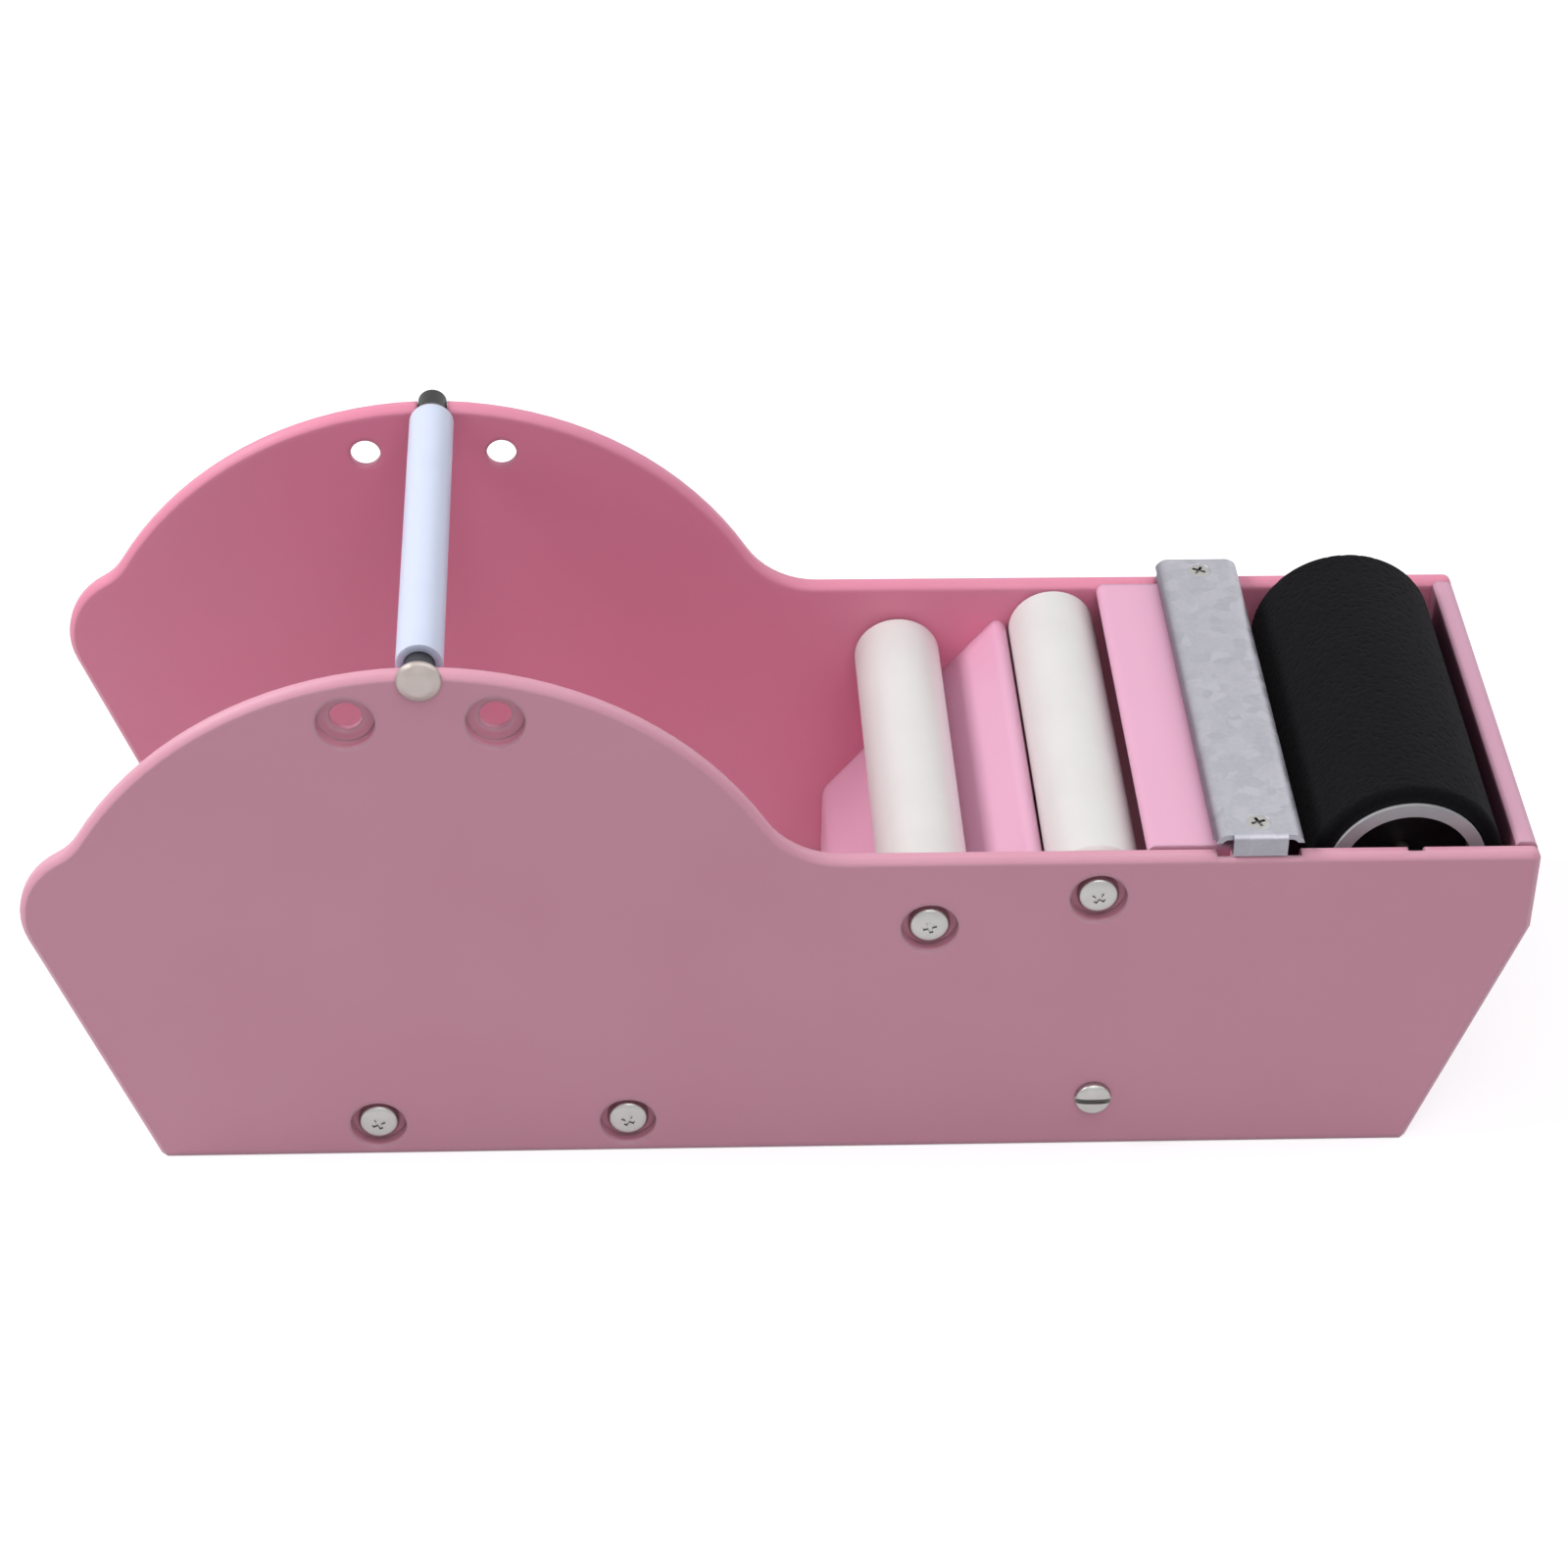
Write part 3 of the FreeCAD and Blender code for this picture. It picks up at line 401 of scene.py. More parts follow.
# Painted shade: faces leaning down and towards the roll darken towards #66606A.
grey = add(tree, "ShaderNodeMix", {
    0: painted_bend_shade.outputs[0], 6: grey.outputs[2], 7: colour("#66606A")}, data_type="RGBA")
along = add(tree, "ShaderNodeMapping", {"Vector": place, "Scale": (1.0, ROLLED_OUT, 1.0)})
rolled = add(tree, "ShaderNodeTexNoise", {
    "Vector": along.outputs[0], "Scale": PER_M / ROLL_LINE_MM, "Detail": 2.0})
relief = add(tree, "ShaderNodeBump", {
    "Height": rolled.outputs[0], "Strength": 0.2, "Distance": ROLL_LINE_HEIGHT})
dullness = add(tree, "ShaderNodeMapRange", {
    "Value": shade.outputs[1], "To Min": 0.42, "To Max": 0.56})
skin = add(tree, "ShaderNodeBsdfPrincipled", {
    "Base Color": grey.outputs[2], "Metallic": 1.0, "Roughness": dullness.outputs[0],
    "Normal": relief.outputs[0]})
add(tree, "ShaderNodeOutputMaterial", {"Surface": skin.outputs[0]})
print("material", zinc_sheet.name)

# %% [markdown]
# ## Zinc plate on the screws, and turned steel on the rods
# The screws are steel with bright zinc plate, and their heads keep fine rings from the machine that
# formed them. The rings go round each screw's own axis, so the screw tree further down stores the
# distance from that axis on the mesh, and this material reads it. The rods and axles are turned, so
# their rings simply step along Y; the Wave texture runs through 20 radians in one unit, which its scale
# allows for. The keeper rod is painted dark grey for the shade it lies in, and only its head is bare
# steel: painted shade. The driver recesses, and the rods where they run into a sleeve or a notch, are
# painted darker where ambient occlusion finds them: painted shade.

# %% Zinc plate and turned steel
RING_ATTRIBUTE = "ring_mm"
RING_PHASE_PER_MM = 14.0
RING_HEIGHT = 0.02 * MM
STAIN_MM = 2.5
RECESS_REACH = 1.2 * MM
zinc_plate, tree = new_material("zinc_plated_steel")
place = add(tree, "ShaderNodeTexCoord").outputs["Object"]
ring = add(tree, "ShaderNodeAttribute", attribute_name=RING_ATTRIBUTE)
ripple = add(tree, "ShaderNodeMath", {
    0: ring.outputs["Fac"], 1: RING_PHASE_PER_MM}, operation="MULTIPLY")
ripple = add(tree, "ShaderNodeMath", {0: ripple.outputs[0]}, operation="SINE")
stain = add(tree, "ShaderNodeTexNoise", {"Vector": place, "Scale": PER_M / STAIN_MM, "Detail": 4.0})
bright = add(tree, "ShaderNodeMix", {
    0: stain.outputs[0], 6: colour("#A6A5A3"), 7: colour("#BDBCB9")}, data_type="RGBA")
# Painted shade: the driver recesses darken towards #4B4946 where ambient occlusion finds them.
shade_occlusion = add(tree, "ShaderNodeAmbientOcclusion", {"Distance": RECESS_REACH}, samples=6)
recess_shade = add(tree, "ShaderNodeMapRange", {
    "Value": shade_occlusion.outputs["AO"], "From Min": 0.60, "From Max": 0.30, "To Max": 0.9})
bright = add(tree, "ShaderNodeMix", {
    0: recess_shade.outputs[0], 6: bright.outputs[2], 7: colour("#4B4946")}, data_type="RGBA")
relief = add(tree, "ShaderNodeBump", {
    "Height": ripple.outputs[0], "Strength": 0.15, "Distance": RING_HEIGHT})
dullness = add(tree, "ShaderNodeMapRange", {
    "Value": stain.outputs[0], "From Min": 0.3, "From Max": 0.7, "To Min": 0.28, "To Max": 0.42})
skin = add(tree, "ShaderNodeBsdfPrincipled", {
    "Base Color": bright.outputs[2], "Metallic": 1.0, "Roughness": dullness.outputs[0],
    "Normal": relief.outputs[0]})
add(tree, "ShaderNodeOutputMaterial", {"Surface": skin.outputs[0]})

TOOL_FEED_MM = 1.0
WAVE_RADIANS = 20.0
ROD_STAIN_MM = 5.0
ROD_SHADE_REACH = 4.0 * MM
CROWN_RADIUS = 1.2 * MM


def turned_rod(name, dark, light, head_tone, head_end):
    """Turned steel; in front of head_end along Y it is the bare head."""
    material, tree = new_material(name)
    place = add(tree, "ShaderNodeTexCoord").outputs["Object"]
    rings = add(tree, "ShaderNodeTexWave", {
        "Vector": place, "Scale": 2 * math.pi / WAVE_RADIANS * PER_M / TOOL_FEED_MM,
        "Distortion": 0.6, "Detail": 1.0}, bands_direction="Y")
    stain = add(tree, "ShaderNodeTexNoise", {"Vector": place, "Scale": PER_M / ROD_STAIN_MM, "Detail": 4.0})
    steel = add(tree, "ShaderNodeMix", {
        0: stain.outputs[0], 6: colour(dark), 7: colour(light)}, data_type="RGBA")
    # Painted shade: where the rod runs into a sleeve or a notch it darkens towards #3A3733.
    shade_occlusion = add(tree, "ShaderNodeAmbientOcclusion", {"Distance": ROD_SHADE_REACH}, samples=6)
    painted_entry_shade = add(tree, "ShaderNodeMapRange", {
        "Value": shade_occlusion.outputs["AO"], "From Min": 0.85, "From Max": 0.45, "To Max": 0.85})
    steel = add(tree, "ShaderNodeMix", {
        0: painted_entry_shade.outputs[0], 6: steel.outputs[2], 7: colour("#3A3733")}, data_type="RGBA")
    along = add(tree, "ShaderNodeSeparateXYZ", {0: place})
    head = add(tree, "ShaderNodeMath", {0: along.outputs[1], 1: head_end}, operation="LESS_THAN")
    steel = add(tree, "ShaderNodeMix", {
        0: head.outputs[0], 6: steel.outputs[2], 7: colour(head_tone)}, data_type="RGBA")
    rounded = add(tree, "ShaderNodeBevel", {"Radius": CROWN_RADIUS}, samples=4)
    relief = add(tree, "ShaderNodeBump", {
        "Height": rings.outputs[1], "Strength": 0.15, "Distance": RING_HEIGHT,
        "Normal": rounded.outputs[0]})
    dullness = add(tree, "ShaderNodeMapRange", {
        "Value": stain.outputs[0], "From Min": 0.3, "From Max": 0.7, "To Min": 0.34, "To Max": 0.48})
    skin = add(tree, "ShaderNodeBsdfPrincipled", {
        "Base Color": steel.outputs[2], "Metallic": 1.0, "Roughness": dullness.outputs[0],
        "Normal": relief.outputs[0]})
    add(tree, "ShaderNodeOutputMaterial", {"Surface": skin.outputs[0]})
    return material


plate_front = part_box("near_side_plate")[0].y
NO_HEAD = -1.0
turned_steel = turned_rod("turned_steel_rod", "#A39E97", "#BEB9B1", "#BEB9B1", NO_HEAD)
# The keeper rod is painted dark grey for the shade it lies in; only its head, in front of the near plate, keeps
# the steel tone: painted shade.
keeper_rod_shaded = turned_rod("keeper_rod_painted_shade", "#4A494C", "#66656A", "#B2A8A4", plate_front)
print("materials", zinc_plate.name, turned_steel.name, keeper_rod_shaded.name)

# %% [markdown]
# ## Grey and black moulded plastic
# The tube inside the foam and the bushes are grey, and the hubs and the tip of the keeper rod black.
# All are small plain mouldings: a fine grain, a faint cloud in the colour, and a satin shine. Water
# leaves a pale film on the grey tube, which the cloud stands for.

# %% Grey and black plastic
FILM_MM = 7.0
FINE_GRAIN_MM, FINE_GRAIN_HEIGHT = 0.6, 0.04 * MM


def small_moulding(name, dark, light):
    """Fine-grained moulded plastic in one tone."""
    material, tree = new_material(name)
    place = add(tree, "ShaderNodeTexCoord").outputs["Object"]
    film = add(tree, "ShaderNodeTexNoise", {"Vector": place, "Scale": PER_M / FILM_MM, "Detail": 5.0})
    tone = add(tree, "ShaderNodeMix", {
        0: film.outputs[0], 6: colour(dark), 7: colour(light)}, data_type="RGBA")
    grain = add(tree, "ShaderNodeTexNoise", {
        "Vector": place, "Scale": PER_M / FINE_GRAIN_MM, "Detail": 2.0})
    relief = add(tree, "ShaderNodeBump", {
        "Height": grain.outputs[0], "Strength": 0.3, "Distance": FINE_GRAIN_HEIGHT})
    satin = add(tree, "ShaderNodeMapRange", {
        "Value": film.outputs[0], "From Min": 0.3, "From Max": 0.7, "To Min": 0.40, "To Max": 0.55})
    skin = add(tree, "ShaderNodeBsdfPrincipled", {
        "Base Color": tone.outputs[2], "Roughness": satin.outputs[0], "Normal": relief.outputs[0],
        "IOR": 1.5})
    add(tree, "ShaderNodeOutputMaterial", {"Surface": skin.outputs[0]})
    return material


grey_plastic = small_moulding("grey_pp_moulded", "#A4A4A6", "#BEBEC0")
black_plastic = small_moulding("black_pa_moulded", "#0C0C0E", "#18181A")
print("materials", grey_plastic.name, black_plastic.name)

# %% [markdown]
# ## Black open-cell foam
# The wetting roller wears a sleeve of black polyurethane foam. Light dies in its open cells, so it is
# nearly black and quite matt, with a thin grey bloom where cell walls catch the light. The larger
# cells are real geometry in the sleeve below; a Voronoi bump adds the smaller ones between them.

# %% Foam
SMALL_CELL_MM, SMALL_CELL_DEPTH = 0.9, 0.15 * MM
BLOOM_MM = 9.0
foam_black, tree = new_material("black_pu_foam")
place = add(tree, "ShaderNodeTexCoord").outputs["Object"]
cells = add(tree, "ShaderNodeTexVoronoi", {"Vector": place, "Scale": PER_M / SMALL_CELL_MM})
wall = add(tree, "ShaderNodeMapRange", {
    "Value": cells.outputs["Distance"], "From Min": 0.15, "From Max": 0.75})
cloud = add(tree, "ShaderNodeTexNoise", {"Vector": place, "Scale": PER_M / BLOOM_MM, "Detail": 4.0})
lit = add(tree, "ShaderNodeMath", {0: wall.outputs[0], 1: cloud.outputs[0]}, operation="MULTIPLY")
tone = add(tree, "ShaderNodeMix", {
    0: lit.outputs[0], 6: colour("#050507"), 7: colour("#100F15")}, data_type="RGBA")
relief = add(tree, "ShaderNodeBump", {
    "Height": wall.outputs[0], "Strength": 0.4, "Distance": SMALL_CELL_DEPTH})
skin = add(tree, "ShaderNodeBsdfPrincipled", {
    "Base Color": tone.outputs[2], "Roughness": 0.95, "Normal": relief.outputs[0],
    "Specular IOR Level": 0.1, "Sheen Weight": 0.03, "Sheen Roughness": 0.6})
add(tree, "ShaderNodeOutputMaterial", {"Surface": skin.outputs[0]})
print("material", foam_black.name)

# %% [markdown]
# ## Finishes on the CAD pieces
# The record says which material slot each CAD node has, so the finishes are handed out by slot. A few
# nodes differ from their slot: the keeper sleeve is the colder white, the keeper rod is painted dark for
# its shade, the side plates take the duller pink with painted shade and painted bounce light, and the
# tank is painted dark inside: painted shade.

# %% Hand out the finishes
BY_SLOT = {
    "pink_plastic": insert_pink_lit_copy, "galvanised_steel": zinc_sheet, "screw_steel": zinc_plate,
    "axle_steel": turned_steel, "white_plastic": roller_white, "grey_plastic": grey_plastic,
    "black_plastic": black_plastic, "black_foam": foam_black,
}
for subpart in frame["record"]["subparts"]:
    mesh = frame["nodes"][subpart["node"]].data
    mesh.materials.clear()
    mesh.materials.append(BY_SLOT[subpart["material_slot"]])
BY_NODE = {
    "keeper_sleeve": sleeve_white, "keeper_rod": keeper_rod_shaded,
    "near_side_plate": plate_pink, "far_side_plate": far_plate_shaded_copy, "water_tank": tank_pink_shaded_inside,
}
for node, finish in BY_NODE.items():
    frame["nodes"][node].data.materials[0] = finish

# %% [markdown]
# ## Screws
# Each axle is held by a pan-head screw at both ends, in a counterbore of the side plate; two slotted
# screws hold the spacer between the plates, and two sunk cross-head screws clamp the cutter bar. They
# are one shape in three sizes, so one Geometry Nodes tree makes them all. A flat grid is rolled up
# into the head with two curves, one for the radius and one for the height, which is what a lathe
# does, and a sunk head draws the middle of its underside down into a cone. A Boolean sinks the
# recess, a spiral with a three-sided profile makes the thread, and the result is set on one point for
# each screw.

# %% Screw tree
HEAD_AROUND, HEAD_STEPS = 48, 21
HEAD_PROFILE = [
    (0.00, 0.00, 0.00), (0.15, 0.97, 0.00), (0.20, 1.00, 0.06), (0.45, 1.00, 0.50),
    (0.55, 0.96, 0.66), (0.65, 0.87, 0.80), (0.75, 0.72, 0.90), (0.85, 0.50, 0.965), (1.00, 0.00, 1.00),
]
UNDERSIDE_END = HEAD_PROFILE[1][0]
WELD = 0.001 * MM
SCREW_SIZES = [
    "Head Radius", "Head Height", "Sink", "Shank Radius", "Shank Length", "Thread Pitch",
    "Recess Length", "Recess Width", "Recess Depth",
]
screw_tree = bpy.data.node_groups.new("pan_head_screws", "GeometryNodeTree")
sockets = screw_tree.interface
sockets.new_socket("Seats", in_out="INPUT", socket_type="NodeSocketGeometry")
size_sockets = {
    name: sockets.new_socket(name, in_out="INPUT", socket_type="NodeSocketFloat").identifier
    for name in SCREW_SIZES
}
size_sockets["Cross"] = sockets.new_socket("Cross", in_out="INPUT", socket_type="NodeSocketBool").identifier
sockets.new_socket("Screws", in_out="OUTPUT", socket_type="NodeSocketGeometry")

t = screw_tree
given = add(t, "NodeGroupInput").outputs
sheet = add(t, "GeometryNodeMeshGrid", {
    "Size X": 1.0, "Size Y": 1.0, "Vertices X": HEAD_AROUND + 1, "Vertices Y": HEAD_STEPS})
spot = add(t, "ShaderNodeSeparateXYZ", {0: add(t, "GeometryNodeInputPosition").outputs[0]})
step = add(t, "ShaderNodeMath", {0: spot.outputs[1], 1: 0.5}, operation="ADD")
around = add(t, "ShaderNodeMath", {0: spot.outputs[0], 1: 2 * math.pi}, operation="MULTIPLY")
shares = []
for column in (1, 2):
    share = add(t, "ShaderNodeFloatCurve", {"Value": step.outputs[0]})
    points = share.mapping.curves[0].points
    for row in HEAD_PROFILE[1:-1]:
        points.new(row[0], row[column])
    for point, row in zip(sorted(points, key=lambda p: p.location[0]), HEAD_PROFILE):
        point.location = (row[0], row[column])
        point.handle_type = "VECTOR"
    share.mapping.update()
    shares.append(share.outputs[0])
radius = add(t, "ShaderNodeMath", {0: shares[0], 1: given["Head Radius"]}, operation="MULTIPLY")
height = add(t, "ShaderNodeMath", {0: shares[1], 1: given["Head Height"]}, operation="MULTIPLY")
cone = add(t, "ShaderNodeMapRange", {
    "Value": step.outputs[0], "From Max": UNDERSIDE_END, "To Min": -1.0, "To Max": 0.0})
height = add(t, "ShaderNodeMath", {
    0: cone.outputs[0], 1: given["Sink"], 2: height.outputs[0]}, operation="MULTIPLY_ADD")
cosine = add(t, "ShaderNodeMath", {0: around.outputs[0]}, operation="COSINE")
sine = add(t, "ShaderNodeMath", {0: around.outputs[0]}, operation="SINE")
head_x = add(t, "ShaderNodeMath", {0: cosine.outputs[0], 1: radius.outputs[0]}, operation="MULTIPLY")
head_y = add(t, "ShaderNodeMath", {0: sine.outputs[0], 1: radius.outputs[0]}, operation="MULTIPLY")
rolled_up = add(t, "ShaderNodeCombineXYZ", {
    0: head_x.outputs[0], 1: head_y.outputs[0], 2: height.outputs[0]})
head = add(t, "GeometryNodeSetPosition", {"Geometry": sheet.outputs[0], "Position": rolled_up.outputs[0]})
head = add(t, "GeometryNodeMergeByDistance", {"Geometry": head.outputs[0], "Distance": WELD})

deep = add(t, "ShaderNodeMath", {0: given["Recess Depth"], 1: 2.0}, operation="MULTIPLY")
bit_size = add(t, "ShaderNodeCombineXYZ", {
    0: given["Recess Length"], 1: given["Recess Width"], 2: deep.outputs[0]})
bit = add(t, "GeometryNodeMeshCube", {"Size": bit_size.outputs[0]})
lifted = add(t, "ShaderNodeCombineXYZ", {2: given["Head Height"]})
first_bit = add(t, "GeometryNodeTransform", {"Geometry": bit.outputs[0], "Translation": lifted.outputs[0]})
turned_bit = add(t, "GeometryNodeTransform", {
    "Geometry": first_bit.outputs[0], "Rotation": (0.0, 0.0, math.pi / 2)})
second_bit = add(t, "GeometryNodeSwitch", {
    "Switch": given["Cross"], "True": turned_bit.outputs[0]}, input_type="GEOMETRY")
sunk = add(t, "GeometryNodeMeshBoolean", {"Mesh 1": head.outputs[0], "Mesh 2": first_bit.outputs[0]},
           operation="DIFFERENCE", solver="EXACT")
t.links.new(second_bit.outputs[0], sunk.inputs["Mesh 2"])
print("screw head:", HEAD_AROUND, "x", HEAD_STEPS, "grid rolled up and sunk")

# %% [markdown]
# The shank sits inside the axle where nobody sees it, but the mesh is also kept by itself, so it gets
# its thread. Its core is a little thinner than the thread, and both stay within the CAD shank; under
# a sunk head they start inside the cone, below the recess.

# %% Shank, thread and places
THREAD_SHARE = 0.13
CORE_SHARE = 1.0 - 1.5 * THREAD_SHARE
SHANK_SIDES, TURN_STEPS, RIDGE_SIDES = 20, 16, 3
CREASE = math.radians(32)
core_radius = add(t, "ShaderNodeMath", {0: given["Shank Radius"], 1: CORE_SHARE}, operation="MULTIPLY")
shank = add(t, "GeometryNodeMeshCylinder", {
    "Vertices": SHANK_SIDES, "Radius": core_radius.outputs[0], "Depth": given["Shank Length"]})
start = add(t, "ShaderNodeMath", {0: given["Sink"], 1: -0.5}, operation="MULTIPLY")
half_down = add(t, "ShaderNodeMath", {
    0: given["Shank Length"], 1: -0.5, 2: start.outputs[0]}, operation="MULTIPLY_ADD")
below = add(t, "ShaderNodeCombineXYZ", {2: half_down.outputs[0]})
shank = add(t, "GeometryNodeTransform", {"Geometry": shank.outputs[0], "Translation": below.outputs[0]})
ridge = add(t, "ShaderNodeMath", {0: given["Shank Radius"], 1: THREAD_SHARE}, operation="MULTIPLY")
path_radius = add(t, "ShaderNodeMath", {
    0: given["Shank Radius"], 1: ridge.outputs[0]}, operation="SUBTRACT")
thread_length = add(t, "ShaderNodeMath", {
    0: given["Shank Length"], 1: given["Thread Pitch"]}, operation="SUBTRACT")
turns = add(t, "ShaderNodeMath", {
    0: thread_length.outputs[0], 1: given["Thread Pitch"]}, operation="DIVIDE")
helix = add(t, "GeometryNodeCurveSpiral", {
    "Resolution": TURN_STEPS, "Rotations": turns.outputs[0], "Start Radius": path_radius.outputs[0],
    "End Radius": path_radius.outputs[0], "Height": thread_length.outputs[0]})
ridge_profile = add(t, "GeometryNodeCurvePrimitiveCircle", {
    "Resolution": RIDGE_SIDES, "Radius": ridge.outputs[0]})
thread = add(t, "GeometryNodeCurveToMesh", {
    "Curve": helix.outputs[0], "Profile Curve": ridge_profile.outputs[0], "Fill Caps": True})
end_down = add(t, "ShaderNodeMath", {0: start.outputs[0], 1: given["Shank Length"]}, operation="SUBTRACT")
from_end = add(t, "ShaderNodeCombineXYZ", {2: end_down.outputs[0]})
thread = add(t, "GeometryNodeTransform", {
    "Geometry": thread.outputs[0], "Translation": from_end.outputs[0]})
whole = add(t, "GeometryNodeJoinGeometry")
for piece in (thread, shank, sunk):
    t.links.new(piece.outputs[0], whole.inputs[0])

place = add(t, "ShaderNodeSeparateXYZ", {0: add(t, "GeometryNodeInputPosition").outputs[0]})
flat_place = add(t, "ShaderNodeCombineXYZ", {0: place.outputs[0], 1: place.outputs[1]})
reach = add(t, "ShaderNodeVectorMath", {0: flat_place.outputs[0]}, operation="LENGTH")
reach_mm = add(t, "ShaderNodeMath", {0: reach.outputs["Value"], 1: PER_M}, operation="MULTIPLY")
marked = add(t, "GeometryNodeStoreNamedAttribute", {
    "Geometry": whole.outputs[0], "Name": RING_ATTRIBUTE, "Value": reach_mm.outputs[0]},
    data_type="FLOAT", domain="POINT")
smooth = add(t, "GeometryNodeSetShadeSmooth", {"Geometry": marked.outputs[0]}, domain="FACE")
corner = add(t, "FunctionNodeCompare", {
    0: add(t, "GeometryNodeInputMeshEdgeAngle").outputs["Unsigned Angle"], 1: CREASE},
    data_type="FLOAT", operation="GREATER_THAN")
crisp = add(t, "GeometryNodeSetShadeSmooth", {
    "Geometry": smooth.outputs[0], "Selection": corner.outputs[0], "Shade Smooth": False}, domain="EDGE")

outward = add(t, "GeometryNodeInputNamedAttribute", {"Name": "outward"}, data_type="FLOAT_VECTOR")
turned = add(t, "GeometryNodeInputNamedAttribute", {"Name": "turn"}, data_type="FLOAT")
facing = add(t, "FunctionNodeAlignRotationToVector", {"Vector": outward.outputs[0]}, axis="Z")
spin = add(t, "FunctionNodeAxisAngleToRotation", {"Axis": (0.0, 0.0, 1.0), "Angle": turned.outputs[0]})
set_turn = add(t, "FunctionNodeRotateRotation", {
    "Rotation": facing.outputs[0], "Rotate By": spin.outputs[0]}, rotation_space="LOCAL")
placed = add(t, "GeometryNodeInstanceOnPoints", {
    "Points": given["Seats"], "Instance": crisp.outputs[0], "Rotation": set_turn.outputs[0]})
real = add(t, "GeometryNodeRealizeInstances", {"Geometry": placed.outputs[0]})
plated = add(t, "GeometryNodeSetMaterial", {"Geometry": real.outputs[0], "Material": zinc_plate})
add(t, "NodeGroupOutput", {"Screws": plated.outputs[0]})
print("screw tree with", len(t.nodes), "nodes")

# %% [markdown]
# The places come from the CAD model: the joints give the roller axes, and the boxes of the screw nodes
# give how high their heads sit. Each screw is left at its own angle, as a fitter leaves it, and only
# the slotted screw in view is near level, as in the photograph.

# %% Set the screws


def make_screws(name, seats, sizes_mm, cross, stands_for):
    """One mesh of screws on the frame: seats are (place, outward, angle in degrees)."""
    mesh = bpy.data.meshes.new(name)
    mesh.from_pydata([place for place, _, _ in seats], [], [])
    outward = mesh.attributes.new("outward", "FLOAT_VECTOR", "POINT")
    outward.data.foreach_set("vector", [value for _, direction, _ in seats for value in direction])
    turn = mesh.attributes.new("turn", "FLOAT", "POINT")
    turn.data.foreach_set("value", [math.radians(angle) for _, _, angle in seats])
    screws = bpy.data.objects.new(name, mesh)
    bpy.context.scene.collection.objects.link(screws)
    modifier = screws.modifiers.new("screws", "NODES")
    modifier.node_group = screw_tree
    for size, value in sizes_mm.items():
        modifier[size_sockets[size]] = value * MM
    modifier[size_sockets["Cross"]] = cross
    made = screws.evaluated_get(bpy.context.evaluated_depsgraph_get())
    plain = bpy.data.meshes.new_from_object(made)
    screws.modifiers.clear()
    screws.data = plain
    plain.name = name
    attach(screws, "frame")
    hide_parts(*stands_for)
    print(name, len(seats), "screws", len(plain.polygons), "faces")


NEAR, FAR, UP = (0.0, -1.0, 0.0), (0.0, 1.0, 0.0), (0.0, 0.0, 1.0)
NEAR_ANGLES, FAR_ANGLES = (25, 66, 107, 148), (70, 103, 136, 169)
TIE_ANGLES, BAR_ANGLES = (0.0, 63.0), (20.0, 62.0)
AXLE_SIZES = {
    "Head Radius": 4.15, "Head Height": 2.4, "Sink": 0.0, "Shank Radius": 2.0, "Shank Length": 10.4,
    "Thread Pitch": 0.8, "Recess Length": 2.8, "Recess Width": 0.8, "Recess Depth": 0.35,
}
axle_spots = [j["pos_m"] for j in frame["joints"] if "support" in j["name"] or "guide" in j["name"]]
near_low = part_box("near_axle_screws")[0].y
far_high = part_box("far_axle_screws")[1].y
head_height = AXLE_SIZES["Head Height"] * MM
axle_seats = [
    ((x, near_low + head_height, z), NEAR, angle) for (x, _, z), angle in zip(axle_spots, NEAR_ANGLES)]
axle_seats += [
    ((x, far_high - head_height, z), FAR, angle) for (x, _, z), angle in zip(axle_spots, FAR_ANGLES)]
make_screws("axle_screw_set", axle_seats, AXLE_SIZES, True, ["near_axle_screws", "far_axle_screws"])

TIE_SIZES = {
    "Head Radius": 3.75, "Head Height": 2.0, "Sink": 0.0, "Shank Radius": 2.0, "Shank Length": 13.0,
    "Thread Pitch": 0.7, "Recess Length": 9.0, "Recess Width": 1.2, "Recess Depth": 1.5,
}
low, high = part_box("tie_screws")
head_height = TIE_SIZES["Head Height"] * MM
tie_x, tie_z = (low.x + high.x) / 2, (low.z + high.z) / 2
tie_seats = [
    ((tie_x, low.y + head_height, tie_z), NEAR, TIE_ANGLES[0]),
    ((tie_x, high.y - head_height, tie_z), FAR, TIE_ANGLES[1])]
make_screws("tie_screw_set", tie_seats, TIE_SIZES, False, ["tie_screws"])

BAR_SIZES = {
    "Head Radius": 2.4, "Head Height": 0.2, "Sink": 2.3, "Shank Radius": 1.45, "Shank Length": 15.0,
    "Thread Pitch": 0.5, "Recess Length": 3.0, "Recess Width": 0.7, "Recess Depth": 0.6,
}
low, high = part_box("cutter_bar_screws")
head_r, head_height = BAR_SIZES["Head Radius"] * MM, BAR_SIZES["Head Height"] * MM
bar_x = (low.x + high.x) / 2
bar_seats = [
    ((bar_x, y, high.z - head_height), UP, angle)
    for y, angle in zip((low.y + head_r, high.y - head_r), BAR_ANGLES)]
make_screws("cutter_bar_screw_set", bar_seats, BAR_SIZES, True, ["cutter_bar_screws"])

# %% [markdown]
# ## The foam sleeve
# The sleeve is a tube of open-cell foam, glued on the grey core. A cloth solver would only blow it up
# like a balloon, so it is made as a fine tube with soft rims, and each point sinks into the nearest
# foam cell by a Voronoi noise. The cells of such foam are 1 to 2 mm wide, and the mesh has four points
# across a cell, so they show in the outline too.

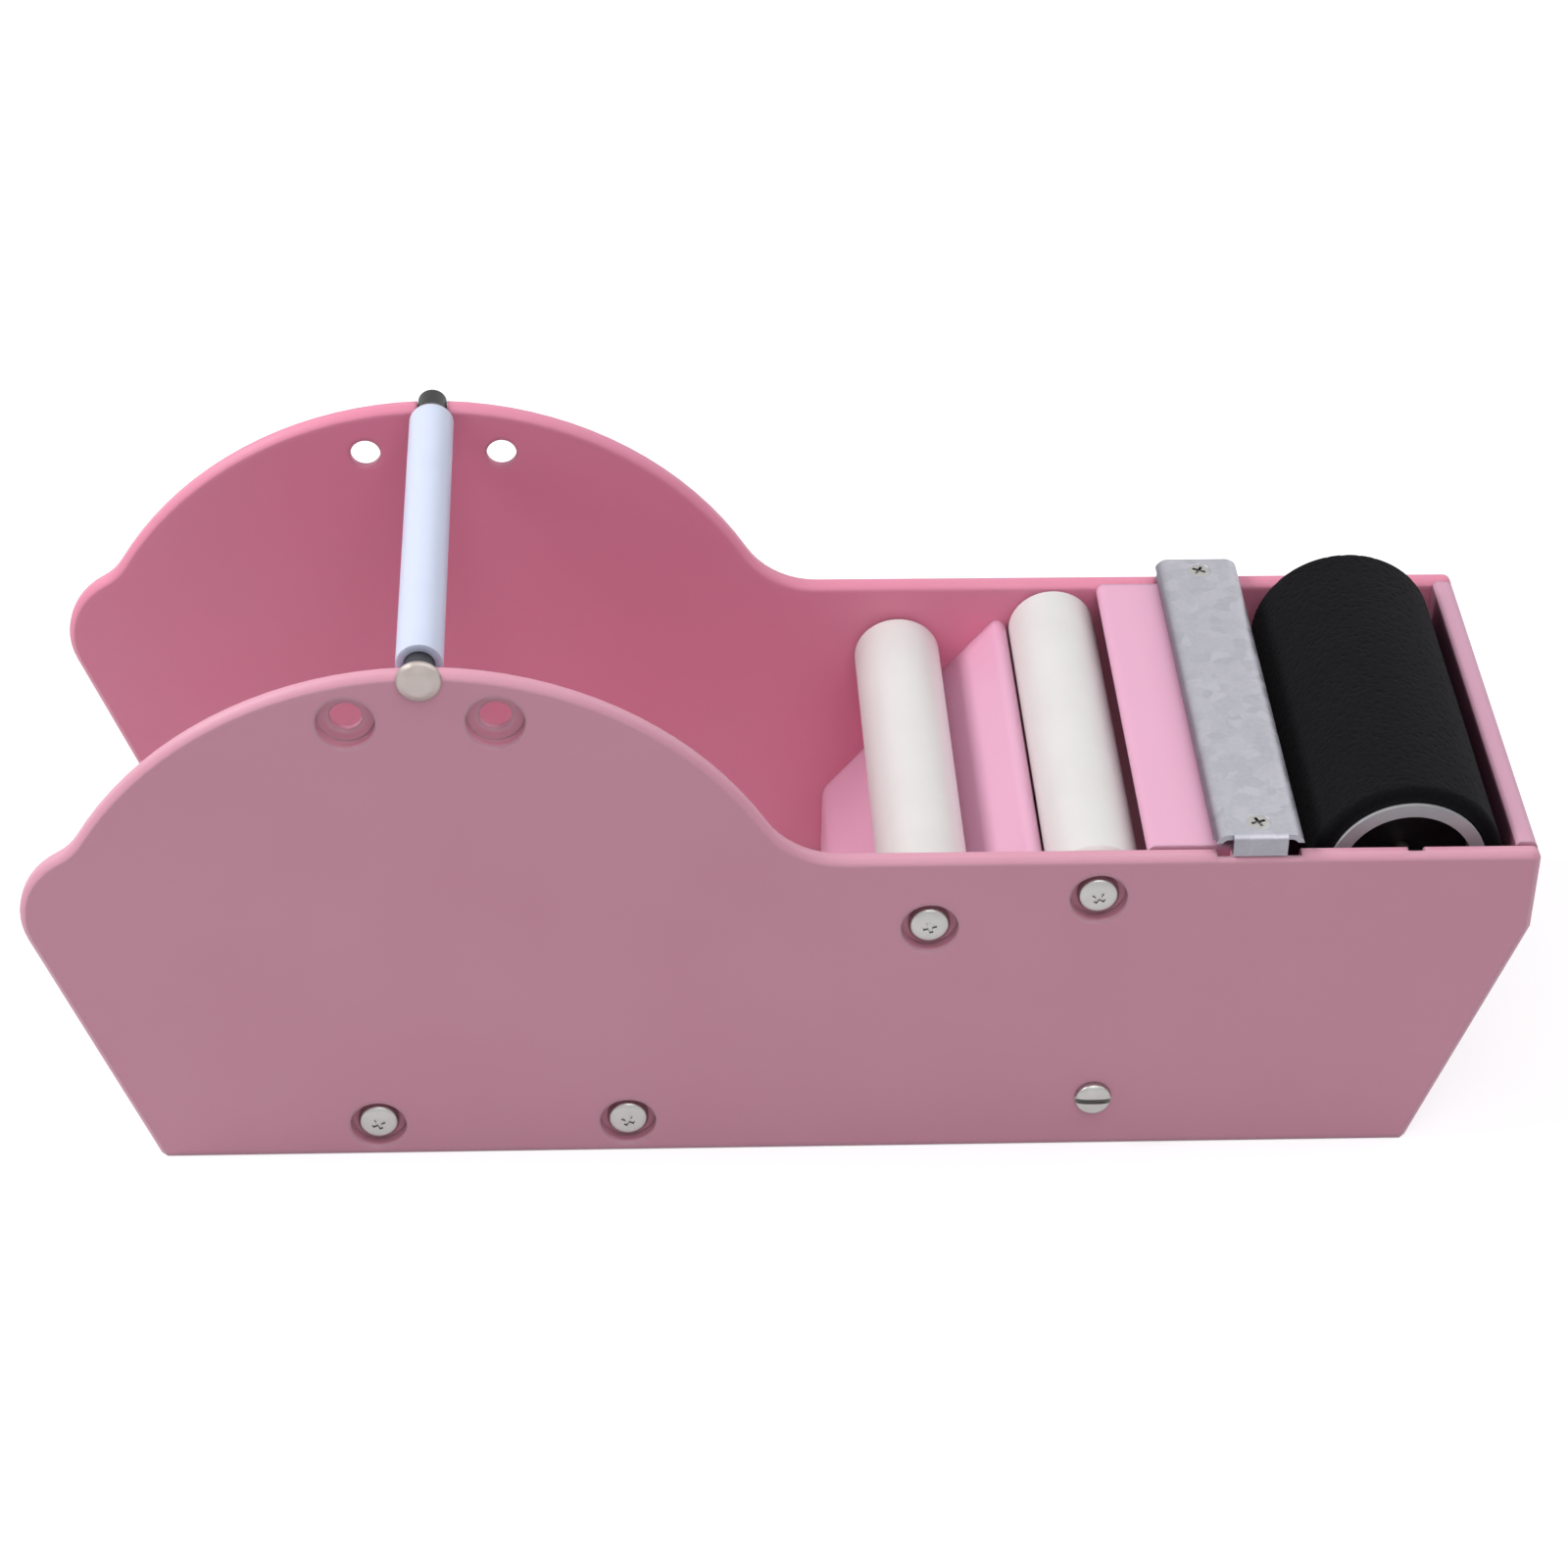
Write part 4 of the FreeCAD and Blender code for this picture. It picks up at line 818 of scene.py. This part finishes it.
# %% Foam sleeve
FOAM_STEP = 0.36 * MM
RIM_RADIUS = 1.6 * MM
RIM_STEPS = 5
CELL = 1.5 * MM
CELL_DEPTH, PORE_SHARE = 0.20 * MM, 0.45
SWELL, SWELL_DEPTH = 14.0 * MM, 0.12 * MM
GLUE_GAP = 0.05 * MM

low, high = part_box("foam_sleeve")
core_low, core_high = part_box("wet_core")
axis_x, axis_z = (low.x + high.x) / 2, (low.z + high.z) / 2
foam_r = (high.x - low.x) / 2
bore_r = (core_high.x - core_low.x) / 2 + GLUE_GAP


def foam_outline():
    """Radius and place along the axis of each ring, once round the wall of the tube, and its softness."""
    rings = [(bore_r, low.y, 0.0), (foam_r - RIM_RADIUS, low.y, 0.3)]
    for i in range(1, RIM_STEPS):
        a = math.pi / 2 * i / RIM_STEPS
        rings.append((foam_r - RIM_RADIUS * (1 - math.sin(a)), low.y + RIM_RADIUS * (1 - math.cos(a)), 1.0))
    count = round((high.y - low.y - 2 * RIM_RADIUS) / FOAM_STEP)
    for i in range(count + 1):
        share = i / count
        rings.append((foam_r, low.y + RIM_RADIUS + share * (high.y - low.y - 2 * RIM_RADIUS), 1.0))
    middle = low.y + high.y
    back = [(r, middle - y, soft) for r, y, soft in reversed(rings[:RIM_STEPS + 1])]
    return rings + back


def foam_point(radius, y, soft, angle):
    """A point of the sleeve, sunk into its foam cell."""
    spot = Vector((radius * math.cos(angle), y, radius * math.sin(angle)))
    gap = noise.voronoi(spot / CELL)[0]
    pore = max(0.0, 1.0 - gap[0] / PORE_SHARE)
    swell = 0.5 + 0.5 * noise.noise(spot / SWELL)
    radius -= soft * (pore * CELL_DEPTH + swell * SWELL_DEPTH)
    return axis_x + radius * math.cos(angle), y, axis_z + radius * math.sin(angle)


outline = foam_outline()
around_count = round(2 * math.pi * foam_r / FOAM_STEP)
angles = [2 * math.pi * i / around_count for i in range(around_count)]
points = [foam_point(*ring, angle) for ring in outline for angle in angles]
faces = []
for i in range(len(outline)):
    a, b = i * around_count, (i + 1) % len(outline) * around_count
    for k in range(around_count):
        n = (k + 1) % around_count
        faces.append((a + k, a + n, b + n, b + k))
mesh = bpy.data.meshes.new("foam_roller_sleeve")
mesh.from_pydata(points, [], faces)
shell = bmesh.new()
shell.from_mesh(mesh)
bmesh.ops.recalc_face_normals(shell, faces=shell.faces)
shell.to_mesh(mesh)
shell.free()
mesh.polygons.foreach_set("use_smooth", [True] * len(mesh.polygons))
mesh.materials.append(foam_black)
sleeve = bpy.data.objects.new("foam_roller_sleeve", mesh)
bpy.context.scene.collection.objects.link(sleeve)
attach(sleeve, "wetting_roller")
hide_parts("foam_sleeve")
print("foam sleeve:", len(points), "points,", 2 * len(faces), "triangles")
